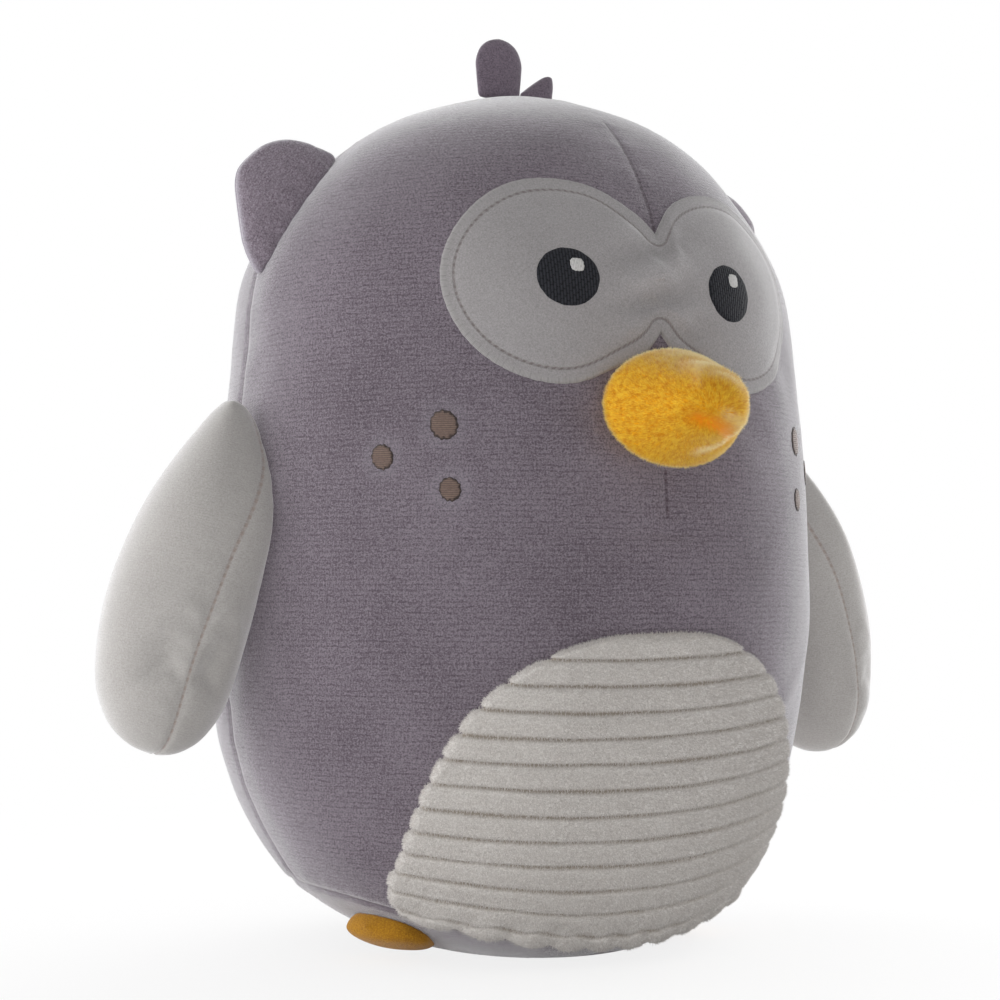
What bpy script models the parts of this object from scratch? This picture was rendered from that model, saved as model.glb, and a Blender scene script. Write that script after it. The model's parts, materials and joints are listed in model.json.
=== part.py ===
"""A plush owl: sewn fabric panels round soft stuffing, with two hanging wings and a two-lobed crest.

Metres, +Z up. The owl looks along -Y, so its left is +X. The origin is the centre of the flat under the body.
"""

import math
from dataclasses import dataclass

import bmesh
import bpy
import numpy as np
from mathutils import Vector

# Body
body_height = 0.246
body_width = 0.178
body_depth = 0.172
back_fullness = 0.005
profile_height_shares = (0.0, 0.055, 0.125, 0.22, 0.36, 0.52, 0.66, 0.77, 0.85, 0.925, 0.972, 1.0)
profile_width_shares = (0.59, 0.718, 0.846, 0.951, 1.0, 0.980, 0.941, 0.904, 0.790, 0.602, 0.365, 0.0)
fullness_height_shares = (0.0, 0.22, 0.45, 0.65, 0.80, 0.88, 1.0)
fullness_shares = (0.0, 1.0, 0.5, 0.25, 0.55, 0.4, 0.0)
side_seam_degrees = 94.0
panel_thickness = 0.002
front_columns = 14
back_columns = 6
body_rows = 20

# Base
rest_width_share = 0.3034
rest_depth_share = 0.4651
base_seam_front_height = 0.0045
base_seam_side_rise = 0.0140
base_curl_power = 1.6
base_row_shares = (0.4, 0.75)

# Gaps between pieces
seam_gap = 0.0003
seat_gap = 0.0005
patch_gap = 0.0006
wing_gap = 0.0008
stitch_gap = 0.0004

# Eye patch
eye_height_share = 0.73618
eye_lobe_offset = 0.027
eye_lobe_width = 0.0616
eye_lobe_height_share = 0.22358
eye_patch_thickness = 0.0015
eye_border_width = 0.0035
eye_border_thickness = 0.0022
eye_lobe_points = 20
eye_ring_shares = (0.0, 0.25, 0.5, 0.75, 1.0)

# Pupils and highlights
pupil_offset = 0.0254
pupil_height_share = 0.73780
pupil_width = 0.0156
pupil_tallness = 0.0150
pupil_thickness = 0.0008
highlight_width = 0.0036
highlight_tallness = 0.0038
highlight_side_offset = 0.0018
highlight_rise = 0.0029
highlight_thickness = 0.0005

# Cheek spots
spot_thickness = 0.0008
upper_spot_width = 0.0075
upper_spot_offset = 0.0600
upper_spot_height_share = 0.58659
outer_spot_width = 0.0064
outer_spot_offset = 0.0775
outer_spot_height_share = 0.55203
lower_spot_width = 0.0059
lower_spot_offset = 0.0590
lower_spot_height_share = 0.51707
disc_points = 12

# Belly patch
belly_width = 0.130
belly_middle_share = 0.09756
belly_top_share = 0.36870
belly_drop = 0.032
belly_thickness = 0.0015
rib_pitch = 0.0066
rib_height = 0.0017
belly_columns = 14

# Beak
beak_height_share = 0.60407
beak_length = 0.0285
beak_width = 0.0465
beak_rise = 0.0165
beak_drop = 0.0163
beak_width_shares = ((0.0, 0.69), (0.16, 0.92), (0.35, 0.84), (0.6, 0.65), (0.8, 0.47), (0.93, 0.30), (1.0, 0.0))
beak_rows = 6
beak_columns = 8

# Wings
wing_length = 0.101
wing_width = 0.046
wing_outer_rise = 0.0225
wing_inner_rise = 0.0185
wing_lean_degrees = 12.5
wing_turn_degrees = -10.0
wing_hinge_share = 0.60976
wing_forward = 0.005
left_wing_drop_share = 0.028  # of the body's height: the left wing is sewn on lower
wing_root_radius = 0.005
wing_root_clearance = 0.0011
wing_root_seam = 0.0015
wing_width_shares = (
    (0.0, 0.0), (0.05, 0.19), (0.165, 0.44), (0.30, 0.71), (0.44, 0.90),
    (0.58, 1.0), (0.72, 0.98), (0.86, 0.79), (0.96, 0.45), (1.0, 0.0),
)
wing_rows = 10
wing_columns = 6

# Ears
ear_seat_share = 0.85772
ear_tilt_degrees = 42.0
ear_length = 0.0175
ear_width = 0.040
ear_front_rise = 0.007
ear_back_rise = 0.006
ear_width_shares = ((0.0, 1.0), (0.25, 0.89), (0.5, 0.73), (0.75, 0.53), (0.92, 0.31), (1.0, 0.0))
ear_rows = 4
ear_columns = 6
limb_thickness = 0.0015
root_ring_shares = (0.0, 0.55)

# Feet
foot_turn_degrees = 70.0
foot_root_share = 0.4663
foot_root_height = 0.0032
foot_root_seam = 0.0044
foot_tilt_degrees = 18.0
foot_length = 0.0225
foot_width = 0.028
foot_rise = 0.0070
foot_drop = 0.0040
foot_width_shares = ((0.0, 0.0), (0.12, 0.6), (0.4, 0.93), (0.6, 1.0), (0.85, 0.75), (1.0, 0.0))
foot_rise_shares = ((0.0, 0.0), (0.12, 0.2), (0.3, 0.42), (0.5, 0.66), (0.7, 0.9), (0.87, 0.75), (1.0, 0.0))
foot_rows = 5
foot_columns = 6
foot_fabric_thickness = 0.0011

# Crest
crest_thickness = 0.0042
crest_root_gap = 0.0005
crest_root_rows = 2
crest_rows = 5
crest_columns = 6
tall_lobe_offset = -0.0058
tall_lobe_length = 0.0152
tall_lobe_width = 0.0150
tall_lobe_lean = 0.0
tall_lobe_width_shares = ((0.0, 0.84), (0.3, 0.97), (0.55, 1.0), (0.8, 0.80), (0.94, 0.45), (1.0, 0.0))
short_lobe_offset = 0.0071
short_lobe_length = 0.0060
short_lobe_width = 0.0100
short_lobe_lean = 0.0040
short_lobe_width_shares = ((0.0, 1.0), (0.4, 0.74), (0.75, 0.45), (0.93, 0.24), (1.0, 0.0))

# Modelling
weld_distance = 0.000001
smallest_end = 0.001
probe = 0.00002
probe_angle = 0.0005
smooth_degrees = 40.0
spline_steps = 24

# Colours
grey_plush = (0.262, 0.232, 0.272)
dark_plush = (0.150, 0.125, 0.160)
white_plush = (0.600, 0.590, 0.580)
cream_fleece = (0.610, 0.590, 0.560)
yellow_plush = (0.830, 0.470, 0.050)
orange_plush = (0.720, 0.330, 0.020)
navy_thread = (0.012, 0.016, 0.028)
white_thread = (0.850, 0.840, 0.820)
taupe_thread = (0.200, 0.140, 0.115)
fibre_white = (0.800, 0.800, 0.780)


eye_height = body_height * eye_height_share
eye_lobe_height = body_height * eye_lobe_height_share
pupil_height = body_height * pupil_height_share
belly_top_height = body_height * belly_top_share
belly_middle_height = body_height * belly_middle_share
wing_hinge_height = body_height * wing_hinge_share
left_wing_drop = body_height * left_wing_drop_share
beak_height = body_height * beak_height_share


def spline(points, after):
    """Points along a smooth curve through the given ones; the last tangent heads for the point after."""
    points = [np.array(p) for p in points]
    points = [2 * points[0] - points[1]] + points + [np.array(after)]
    curve = []
    for a, b, c, d in zip(points, points[1:], points[2:], points[3:]):
        for t in np.linspace(0.0, 1.0, spline_steps, endpoint=False):
            start = 2 * b + (c - a) * t
            bend = (2 * a - 5 * b + 4 * c - d) * t ** 2 + (3 * b - a - 3 * c + d) * t ** 3
            curve.append((start + bend) / 2)
    curve.append(points[-2])
    return np.array(curve)


def smooth_table(pairs):
    """A function that follows a table of shares smoothly."""
    last, before = np.array(pairs[-1]), np.array(pairs[-2])
    curve = spline(pairs, 2 * last - before)
    return lambda t: float(max(0.0, np.interp(t, curve[:, 0], curve[:, 1])))


top_share = (profile_height_shares[-2], -profile_width_shares[-2])
profile = spline(list(zip(profile_height_shares, profile_width_shares)), top_share)
profile_z = profile[:, 0] * body_height
profile_share = profile[:, 1]
profile_steps = np.hypot(np.diff(profile_z), np.diff(profile_share * body_width / 2))
profile_run = np.concatenate(([0.0], np.cumsum(profile_steps)))
full_run = profile_run[-1]
fullness = smooth_table(list(zip(fullness_height_shares, fullness_shares)))


def run_at(z):
    """How far up the skin a height lies, measured along the profile."""
    return float(np.interp(z, profile_z, profile_run))


def share_at(z):
    """The body's width at a height, as a share of its widest."""
    return float(np.interp(z, profile_z, profile_share))


def half_width_at(z):
    """Half the body's width at a height."""
    return share_at(z) * body_width / 2


def spine_y(z):
    """The front-to-back place of the body's middle at a height."""
    return back_fullness * fullness(z / body_height)


def skin(angle, run):
    """A point on the body: angle round from the front towards the owl's left, run up the profile."""
    z = float(np.interp(run, profile_run, profile_z))
    share = float(np.interp(run, profile_run, profile_share))
    x = share * body_width / 2 * math.sin(angle)
    y = spine_y(z) - share * body_depth / 2 * math.cos(angle)
    return Vector((x, y, z))


def skin_normal(angle, run):
    """The direction out of the body there."""
    round_way = skin(angle + probe_angle, run) - skin(angle - probe_angle, run)
    up_way = skin(angle, min(run + probe, full_run)) - skin(angle, run - probe)
    normal = round_way.cross(up_way)
    return normal.normalized() if full_run - run > probe else Vector((0, 0, 1))


def on_skin(angle, run, lift):
    """A point lifted off the body's surface."""
    return skin(angle, run) + skin_normal(angle, run) * lift


def on_front(across, z, lift):
    """A point of the front, across as measured round the body from its middle line."""
    return on_skin(across / half_width_at(z), run_at(z), lift)


def base_seam_z(angle):
    """The height of the seam round the base panel, which rises at the sides."""
    return base_seam_front_height + base_seam_side_rise * math.sin(angle) ** 2


def base_skin(angle, q):
    """A point under the body: q is -1 at the middle, 0 at the edge of the flat and 1 at the seam."""
    half_width, half_depth = body_width / 2 * rest_width_share, body_depth / 2 * rest_depth_share
    flat = Vector((half_width * math.sin(angle), -half_depth * math.cos(angle), 0))
    if q <= 0:
        return flat * (1 + q)
    rim = skin(angle, run_at(base_seam_z(angle)))
    place = flat.lerp(rim, q)
    place.z = rim.z * q ** base_curl_power
    return place


def base_normal(angle, q):
    """The direction out of the base there."""
    if q <= 0:
        return Vector((0, 0, -1))
    round_way = base_skin(angle + probe_angle, q) - base_skin(angle - probe_angle, q)
    out_way = base_skin(angle, q) - base_skin(angle, q - probe_angle)
    return round_way.cross(out_way).normalized()


def seam_inward(angle, depth):
    """The step into the body at the base seam, halfway between the two panels' own directions."""
    upper = skin_normal(angle, run_at(base_seam_z(angle)))
    lower = base_normal(angle, 1.0)
    middle = (upper + lower).normalized()
    return middle * (-depth / middle.dot(upper))


def underside_z(x, y):
    """The height of the body's underside over a point of the ground."""
    angle = math.atan2(x / body_width, -y / body_depth)
    rim = base_skin(angle, 1.0)
    flat = base_skin(angle, 0.0)
    reach = math.hypot(x, y)
    inner, outer = math.hypot(flat.x, flat.y), math.hypot(rim.x, rim.y)
    if reach <= outer:
        return rim.z * max(0.0, (reach - inner) / (outer - inner)) ** base_curl_power
    widest = int(np.argmax(profile_share))
    share = math.hypot(x / (body_width / 2), y / (body_depth / 2))
    return max(rim.z, float(np.interp(share, profile_share[:widest], profile_z[:widest])))


def inside_share(point):
    """Below 1 inside the body at the point's height, above 1 outside it."""
    share = max(share_at(point.z), probe)
    return math.hypot(point.x / (share * body_width / 2), (point.y - spine_y(point.z)) / (share * body_depth / 2))


def seated(point, direction, gap):
    """The point moved along a direction until it stands a gap off the body."""
    low, high = -body_depth / 4, body_depth / 4
    while high - low > probe:
        middle = (low + high) / 2
        outside = inside_share(point + direction * middle) > 1
        low, high = (low, middle) if outside else (middle, high)
    return point + direction * (high + gap)


def new_material(name, colour, roughness):
    material = bpy.data.materials.new(name)
    material.use_nodes = True
    shader = material.node_tree.nodes["Principled BSDF"]
    shader.inputs["Base Color"].default_value = (*colour, 1)
    shader.inputs["Roughness"].default_value = roughness
    shader.inputs["Metallic"].default_value = 0.0
    shader.inputs["Sheen Weight"].default_value = 0.3
    material.diffuse_color = (*colour, 1)
    return material


def make_object(name, mesh, colour, roughness=0.95, origin=None):
    """Welds, closes and turns out a bmesh, and adds it as a named object with its own material."""
    bmesh.ops.remove_doubles(mesh, verts=mesh.verts, dist=weld_distance)
    bmesh.ops.recalc_face_normals(mesh, faces=mesh.faces)
    if origin is not None:
        bmesh.ops.translate(mesh, verts=mesh.verts, vec=-origin)
    data = bpy.data.meshes.new(name)
    mesh.to_mesh(data)
    mesh.free()
    data.shade_smooth()
    data.set_sharp_from_angle(angle=math.radians(smooth_degrees))
    data.materials.append(new_material(name, colour, roughness))
    result = bpy.data.objects.new(name, data)
    if origin is not None:
        result.location = origin
    bpy.context.collection.objects.link(result)
    return result


def add_grid(mesh, grid, cyclic):
    """Adds rows of points and the faces between them, and gives back the rows of vertices."""
    rows = [[mesh.verts.new(p) for p in row] for row in grid]
    for low, high in zip(rows, rows[1:]):
        columns = range(len(low) if cyclic else len(low) - 1)
        for i in columns:
            j = (i + 1) % len(low)
            mesh.faces.new((low[i], low[j], high[j], high[i]))
    return rows


def bridge(mesh, outer, inner, cyclic):
    """Joins two runs of vertices with a strip."""
    pairs = list(zip(outer, inner))
    following = pairs[1:] + (pairs[:1] if cyclic else [])
    for (a, b), (c, d) in zip(pairs, following):
        mesh.faces.new((a, c, d, b))


def slab(outer, inner, cyclic=False):
    """A sheet with thickness between two matching grids of points."""
    mesh = bmesh.new()
    top = add_grid(mesh, outer, cyclic)
    bottom = add_grid(mesh, inner, cyclic)
    bridge(mesh, top[-1], bottom[-1], cyclic)
    first = {tuple(v.co) for v in top[0]}
    if not cyclic:
        bridge(mesh, top[0], bottom[0], False)
        bridge(mesh, [row[0] for row in top], [row[0] for row in bottom], False)
        bridge(mesh, [row[-1] for row in top], [row[-1] for row in bottom], False)
    elif len(first) > 1:
        bridge(mesh, top[0], bottom[0], True)
    return mesh


def loft(rings):
    """A closed solid through rings of points. An end ring is flat, or collapsed to a point or a line."""
    mesh = bmesh.new()
    rows = add_grid(mesh, rings, True)
    for ring in (rows[0], rows[-1]):
        middle = sum((v.co for v in ring), Vector()) / len(ring)
        area = sum(((a.co - middle).cross(b.co - middle) for a, b in zip(ring, ring[1:])), Vector()).length
        if area > smallest_end ** 2:
            mesh.faces.new(ring)
    return mesh


def steps(start, end, count):
    return [start + (end - start) * i / count for i in range(count + 1)]


# Body panels


def panel_grid(angles, gap_way, lift):
    """Rows of a body panel from the base seam to the crown, moved half a seam gap off its neighbours."""
    grid = []
    for share in steps(0.0, 1.0, body_rows):
        row = []
        for angle in angles:
            seam = run_at(base_seam_z(angle)) + seam_gap / 2
            run = seam + (full_run - seam) * share
            point = on_skin(angle, run, -lift)
            if share == 0 and lift > 0:
                point = skin(angle, run) + seam_inward(angle, lift)
            row.append(point + gap_way * (seam_gap / 2))
        grid.append(row)
    return grid


def body_panel(name, start, end, columns, gap_way):
    angles = steps(start, end, columns)
    mesh = slab(panel_grid(angles, gap_way, 0.0), panel_grid(angles, gap_way, panel_thickness))
    return make_object(name, mesh, grey_plush)


def base_grid(angles, lift):
    """Rows of the base panel from its middle to the seam."""
    grid = []
    for q in (-1.0, 0.0, *base_row_shares, 1.0):
        row = []
        for angle in angles:
            point = base_skin(angle, q)
            rim_step = (point - base_skin(angle, 0.0)).normalized() * (seam_gap / 2) if q == 1 else Vector()
            inward = seam_inward(angle, lift) if q == 1 else -base_normal(angle, q) * lift
            row.append(point - rim_step + inward)
        grid.append(row)
    return grid


def body_angles():
    """The angles of all body columns, once round from the right side seam."""
    seam = math.radians(side_seam_degrees)
    front = steps(-seam, seam, front_columns)
    back = steps(seam, 2 * math.pi - seam, 2 * back_columns)
    return front[:-1] + back[:-1]


def base_panel():
    angles = body_angles()
    mesh = slab(base_grid(angles, 0.0), base_grid(angles, panel_thickness), cyclic=True)
    return make_object("base_panel", mesh, grey_plush)


def body_stuffing():
    """The filling that keeps the body round, on every other row and column of the panels."""
    angles = body_angles()[::2]
    depth = panel_thickness + stitch_gap
    rings = [
        [base_skin(a, -1.0) + Vector((0, 0, depth)) for a in angles],
        [base_skin(a, 0.0) + Vector((0, 0, depth)) for a in angles],
        [base_skin(a, 1.0) + seam_inward(a, depth) for a in angles],
    ]
    for share in steps(0.0, 1.0, body_rows)[2::2]:
        ring = []
        for a in angles:
            seam = run_at(base_seam_z(a))
            ring.append(on_skin(a, seam + (full_run - seam) * share, -depth))
        rings.append(ring)
    return make_object("body_stuffing", loft(rings), fibre_white)


# Face


def eye_outline():
    """The outline of the two joined eye lobes, as places across and up from the middle between the eyes."""
    a, b = eye_lobe_width / 2, eye_lobe_height / 2
    waist = math.acos(-eye_lobe_offset / a)
    right = []
    for angle in steps(waist, -waist, eye_lobe_points):
        right.append((eye_lobe_offset + a * math.cos(angle), b * math.sin(angle)))
    left = [(-x, -z) for x, z in right]
    return right[:-1] + left[:-1]


def inset(outline, distance):
    """The outline drawn in by a distance."""
    count = len(outline)
    result = []
    for i, (x, z) in enumerate(outline):
        dx = outline[(i + 1) % count][0] - outline[i - 1][0]
        dz = outline[(i + 1) % count][1] - outline[i - 1][1]
        size = math.hypot(dx, dz)
        result.append((x + dz / size * distance, z - dx / size * distance))
    return result


def ring_on_front(outline, centre_z, share, lift):
    return [on_front(x * share, centre_z + z * share, lift) for x, z in outline]


def eye_patch():
    outline = inset(eye_outline(), eye_border_width + seam_gap)
    back = [ring_on_front(outline, eye_height, s, patch_gap) for s in eye_ring_shares]
    front = [ring_on_front(outline, eye_height, s, patch_gap + eye_patch_thickness) for s in eye_ring_shares]
    return make_object("eye_patch", slab(front, back, cyclic=True), white_plush)


def eye_patch_border():
    """The band of satin stitches round the eye patch, highest along its middle."""
    outline = eye_outline()
    crown_shares = ((0.0, 0.6), (0.5, 1.0), (1.0, 0.6))
    front, back = [], []
    for across_share, height_share in crown_shares:
        line = inset(outline, eye_border_width * (1 - across_share))
        front.append(ring_on_front(line, eye_height, 1.0, patch_gap + eye_border_thickness * height_share))
        back.append(ring_on_front(line, eye_height, 1.0, patch_gap))
    return make_object("eye_patch_border", slab(front, back, cyclic=True), white_plush)


def stitched_disc(name, across, z, width, tallness, bottom, thickness, colour):
    """A filled embroidered spot that follows the body's curve."""
    front, back = [], []
    for share in (0.0, 1.0):
        ring = []
        for i in range(disc_points):
            angle = -2 * math.pi * i / disc_points
            ring.append((width / 2 * share * math.cos(angle), tallness / 2 * share * math.sin(angle)))
        front.append([on_front(across + x, z + up, bottom + thickness) for x, up in ring])
        back.append([on_front(across + x, z + up, bottom) for x, up in ring])
    return make_object(name, slab(front, back, cyclic=True), colour)


def eyes():
    pupil_bottom = patch_gap + eye_patch_thickness + stitch_gap
    light_bottom = pupil_bottom + pupil_thickness + stitch_gap
    for side, way in (("right", -1), ("left", 1)):
        x = way * pupil_offset
        stitched_disc("pupil_" + side, x, pupil_height, pupil_width, pupil_tallness,
                      pupil_bottom, pupil_thickness, navy_thread)
        stitched_disc("highlight_" + side, x + highlight_side_offset, pupil_height + highlight_rise,
                      highlight_width, highlight_tallness, light_bottom, highlight_thickness, white_thread)


def cheek_spots():
    spots = (
        ("upper", upper_spot_offset, upper_spot_height_share, upper_spot_width),
        ("outer", outer_spot_offset, outer_spot_height_share, outer_spot_width),
        ("lower", lower_spot_offset, lower_spot_height_share, lower_spot_width),
    )
    for side, way in (("right", -1), ("left", 1)):
        for place, offset, height_share, width in spots:
            stitched_disc(f"cheek_spot_{place}_{side}", way * offset, body_height * height_share, width, width,
                          patch_gap, spot_thickness, taupe_thread)


def belly_half_width(z):
    """Half the belly patch's width at a height, measured round the body."""
    reach = belly_top_height - belly_middle_height if z > belly_middle_height else belly_drop
    share = min(1.0, abs(z - belly_middle_height) / reach)
    return belly_width / 2 * math.sqrt(1 - share ** 2)


def belly_patch():
    """The ribbed fleece patch: each rib is a groove row and a crown row."""
    top = run_at(belly_top_height)
    length = top - run_at(base_seam_z(0))
    ribs = round(length / rib_pitch)
    front, back = [], []
    for row, share in enumerate(steps(0.0, 1.0, 2 * ribs)):
        lift = patch_gap + belly_thickness + (rib_height if row % 2 else 0.0)
        middle_z = float(np.interp(run_at(base_seam_z(0)) + length * share, profile_run, profile_z))
        half_angle = belly_half_width(middle_z) / half_width_at(middle_z)
        front_row, back_row = [], []
        for column_share in steps(-1.0, 1.0, belly_columns):
            angle = half_angle * column_share
            seam = run_at(base_seam_z(angle)) + seam_gap
            run = seam + (top - seam) * share
            front_row.append(on_skin(angle, run, lift))
            back_row.append(on_skin(angle, run, patch_gap))
        front.append(front_row)
        back.append(back_row)
    return make_object("belly_patch", slab(front, back), cream_fleece)


# Limbs


@dataclass
class Limb:
    """A stuffed limb with its own directions: along it, across it, and out of its upper side.

    A closed limb starts at a point of its own. Any other starts on the body's surface.
    """

    pivot: Vector
    origin: Vector
    along: Vector
    across: Vector
    out: Vector
    length: float
    width: float
    rise: float
    drop: float
    fabric: float
    shares: tuple
    rise_shares: tuple = None
    closed: bool = True
    root_seam: float = 0.0
    keep_off: object = None

    def row_share(self, i, rows):
        """How far along a row lies: rows crowd towards a rounded end."""
        if self.closed:
            return (1 - math.cos(math.pi * i / rows)) / 2
        return math.sin(math.pi / 2 * i / rows)

    def rows(self, rows, angles, depth, seat=0.0):
        """Sections of the limb from its root to its tip, drawn in by a depth."""
        width_share = smooth_table(self.shares)
        rise_share = smooth_table(self.rise_shares or self.shares)
        start = self.root_seam * depth / self.fabric if self.closed else 0.0
        grid = []
        for i in range(rows + 1):
            share = self.row_share(i, rows)
            place = start + (self.length - depth - start) * share
            row = []
            for angle in angles:
                across = (self.width / 2 - depth) * math.cos(angle) * width_share(share)
                rise = (self.rise - depth) * rise_share(share)
                drop = (self.drop - depth) * width_share(share)
                out = (rise if math.sin(angle) > 0 else drop) * math.sin(angle)
                point = self.origin + self.along * place + self.across * across + self.out * out
                if i == 0 and not self.closed:
                    point = seated(point, self.along, seat_gap + seat)
                elif self.keep_off:
                    point = self.keep_off(point, depth)
                row.append(point)
            grid.append(row)
        return grid

    def root_rings(self, rim):
        """Rings that close the filling over the curve of the body, from the middle of the root outwards."""
        middle = sum(rim, Vector()) / len(rim)
        gap = seat_gap + stitch_gap
        return [[seated(middle.lerp(p, share), self.along, gap) for p in rim] for share in root_ring_shares]

    def make(self, names, rows, columns, colour):
        """The two fabric halves, sewn edge to edge, and the stuffing between them."""
        for name, start, way in ((names[0], 0.0, 1), (names[1], math.pi, -1)):
            angles = steps(start, start + math.pi, columns)
            shift = self.out * (way * seam_gap / 2)
            outer = [[p + shift for p in row] for row in self.rows(rows, angles, 0.0)]
            inner = [[p + shift for p in row] for row in self.rows(rows, angles, self.fabric)]
            make_object(name, slab(outer, inner), colour, origin=self.pivot)
        around = steps(0.0, 2 * math.pi, 2 * columns)[:-1]
        rings = self.rows(rows, around, self.fabric + stitch_gap, stitch_gap)
        if not self.closed:
            rings = self.root_rings(rings[0]) + rings
        make_object(names[2], loft(rings), fibre_white, origin=self.pivot)


def beak():
    root = Vector((0, skin(0, run_at(beak_height)).y, beak_height))
    limb = Limb(
        pivot=root, origin=root, along=Vector((0, -1, 0)), across=Vector((1, 0, 0)), out=Vector((0, 0, 1)),
        length=beak_length, width=beak_width, rise=beak_rise, drop=beak_drop, fabric=limb_thickness,
        shares=beak_width_shares, closed=False,
    )
    limb.make(("beak_upper", "beak_lower", "beak_stuffing"), beak_rows, beak_columns, yellow_plush)


def off_body(point, depth):
    """Moves a wing's point sideways until it is clear of the body by the wing's gap and its own depth."""
    half_depth = share_at(point.z) * body_depth / 2
    reach = (point.y - spine_y(point.z)) / half_depth
    if abs(reach) >= 1:
        return point
    clear = half_width_at(point.z) * math.sqrt(1 - reach ** 2) + wing_gap + depth
    return Vector((math.copysign(max(abs(point.x), clear), point.x), point.y, point.z))


def wing_hinge(way):
    """The hinge point of a wing, in its root, outside the side of the body."""
    z = wing_hinge_height - (left_wing_drop if way > 0 else 0)
    x = half_width_at(z) + wing_root_radius + wing_root_clearance
    return Vector((way * x, spine_y(z) - wing_forward, z))


def wings():
    lean, turn = math.radians(wing_lean_degrees), math.radians(wing_turn_degrees)
    up = Vector((0, 0, 1))
    for side, way in (("right", -1), ("left", 1)):
        level = Vector((way * math.cos(turn), -math.sin(turn), 0))
        along = level * math.sin(lean) - up * math.cos(lean)
        hinge = wing_hinge(way)
        limb = Limb(
            pivot=hinge, origin=hinge - along * wing_root_radius, along=along,
            across=Vector((way * math.sin(turn), math.cos(turn), 0)), out=level * math.cos(lean) + up * math.sin(lean),
            length=wing_length, width=wing_width, rise=wing_outer_rise, drop=wing_inner_rise,
            fabric=limb_thickness, shares=wing_width_shares, root_seam=wing_root_seam, keep_off=off_body,
        )
        names = (f"wing_{side}_outer", f"wing_{side}_inner", f"wing_{side}_stuffing")
        limb.make(names, wing_rows, wing_columns, white_plush)


def ears():
    tilt = math.radians(ear_tilt_degrees)
    for side, way in (("right", -1), ("left", 1)):
        root = skin(way * math.pi / 2, run_at(body_height * ear_seat_share))
        limb = Limb(
            pivot=root, origin=root, along=Vector((way * math.cos(tilt), 0, math.sin(tilt))),
            across=Vector((-way * math.sin(tilt), 0, math.cos(tilt))), out=Vector((0, -1, 0)),
            length=ear_length, width=ear_width, rise=ear_front_rise, drop=ear_back_rise,
            fabric=limb_thickness, shares=ear_width_shares, closed=False,
        )
        names = (f"ear_{side}_front", f"ear_{side}_back", f"ear_{side}_stuffing")
        limb.make(names, ear_rows, ear_columns, grey_plush)


def under_body(point, depth):
    """Lowers a foot's point until it is clear of the body's underside."""
    limit = underside_z(point.x, point.y) - seat_gap - depth
    return Vector((point.x, point.y, min(point.z, limit)))


def feet():
    turn, tilt = math.radians(foot_turn_degrees), math.radians(foot_tilt_degrees)
    for side, way in (("right", -1), ("left", 1)):
        level = Vector((way * math.sin(turn), -math.cos(turn), 0))
        along = level * math.cos(tilt) + Vector((0, 0, math.sin(tilt)))
        across = Vector((0, 0, 1)).cross(level)
        root = level * (body_width / 2 * foot_root_share) + Vector((0, 0, foot_root_height))
        limb = Limb(
            pivot=root, origin=root, along=along, across=across, out=along.cross(across), length=foot_length,
            width=foot_width, rise=foot_rise, drop=foot_drop, fabric=foot_fabric_thickness,
            shares=foot_width_shares, rise_shares=foot_rise_shares, root_seam=foot_root_seam,
            keep_off=under_body,
        )
        names = (f"foot_{side}_top", f"foot_{side}_sole", f"foot_{side}_stuffing")
        limb.make(names, foot_rows, foot_columns, orange_plush)


# Crest


def crest_lobe(name, offset, length, width, lean, width_shares):
    """A flat sewn lobe whose root is round about its hinge, so that it can bend to the front and back."""
    radius = crest_thickness / 2
    hinge = Vector((offset, spine_y(body_height), body_height + crest_root_gap + radius))
    shape = smooth_table(width_shares)
    around = [math.pi / crest_columns * i for i in range(2 * crest_columns)]
    rings = []
    for i in range(crest_root_rows):
        turn = math.pi / 2 * (1 - i / crest_root_rows)
        half = width / 2 * shape(0) - radius * (1 - math.cos(turn)) / 2
        row = []
        for angle in around:
            out = radius * math.sin(angle) * math.cos(turn)
            row.append(hinge + Vector((half * math.cos(angle), -out, -radius * math.sin(turn))))
        rings.append(row)
    for i in range(crest_rows + 1):
        share = math.sin(math.pi / 2 * i / crest_rows)
        row = []
        for angle in around:
            x = lean * share + width / 2 * shape(share) * math.cos(angle)
            out = radius * math.sin(angle) * min(1.0, shape(share) / shape(0))
            row.append(hinge + Vector((x, -out, length * share)))
        rings.append(row)
    return make_object(name, loft(rings), dark_plush, origin=hinge)


def crest():
    crest_lobe("crest_tall", tall_lobe_offset, tall_lobe_length, tall_lobe_width,
               tall_lobe_lean, tall_lobe_width_shares)
    crest_lobe("crest_short", short_lobe_offset, short_lobe_length, short_lobe_width,
               short_lobe_lean, short_lobe_width_shares)


def main():
    for old in list(bpy.data.objects):
        bpy.data.objects.remove(old)
    seam = math.radians(side_seam_degrees)
    body_panel("front_panel", -seam, seam, front_columns, Vector((0, -1, 0)))
    body_panel("back_panel_left", seam, math.pi, back_columns, Vector((1, 1, 0)))
    body_panel("back_panel_right", -math.pi, -seam, back_columns, Vector((-1, 1, 0)))
    base_panel()
    body_stuffing()
    eye_patch()
    eye_patch_border()
    eyes()
    cheek_spots()
    belly_patch()
    beak()
    wings()
    ears()
    feet()
    crest()


main()
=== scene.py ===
# %% [markdown]
# # A plush owl
#
# A cushion-like plush owl, sewn from short-pile fabric and stuffed. The construction model gives
# every piece its place and size. This lesson dresses it: each fabric piece is modelled with its
# seams, swollen by its stuffing, and given a fabric of its own.
# %% Load the construction model
import json
import math

import bpy
import numpy as np
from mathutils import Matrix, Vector
from mathutils.bvhtree import BVHTree

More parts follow.
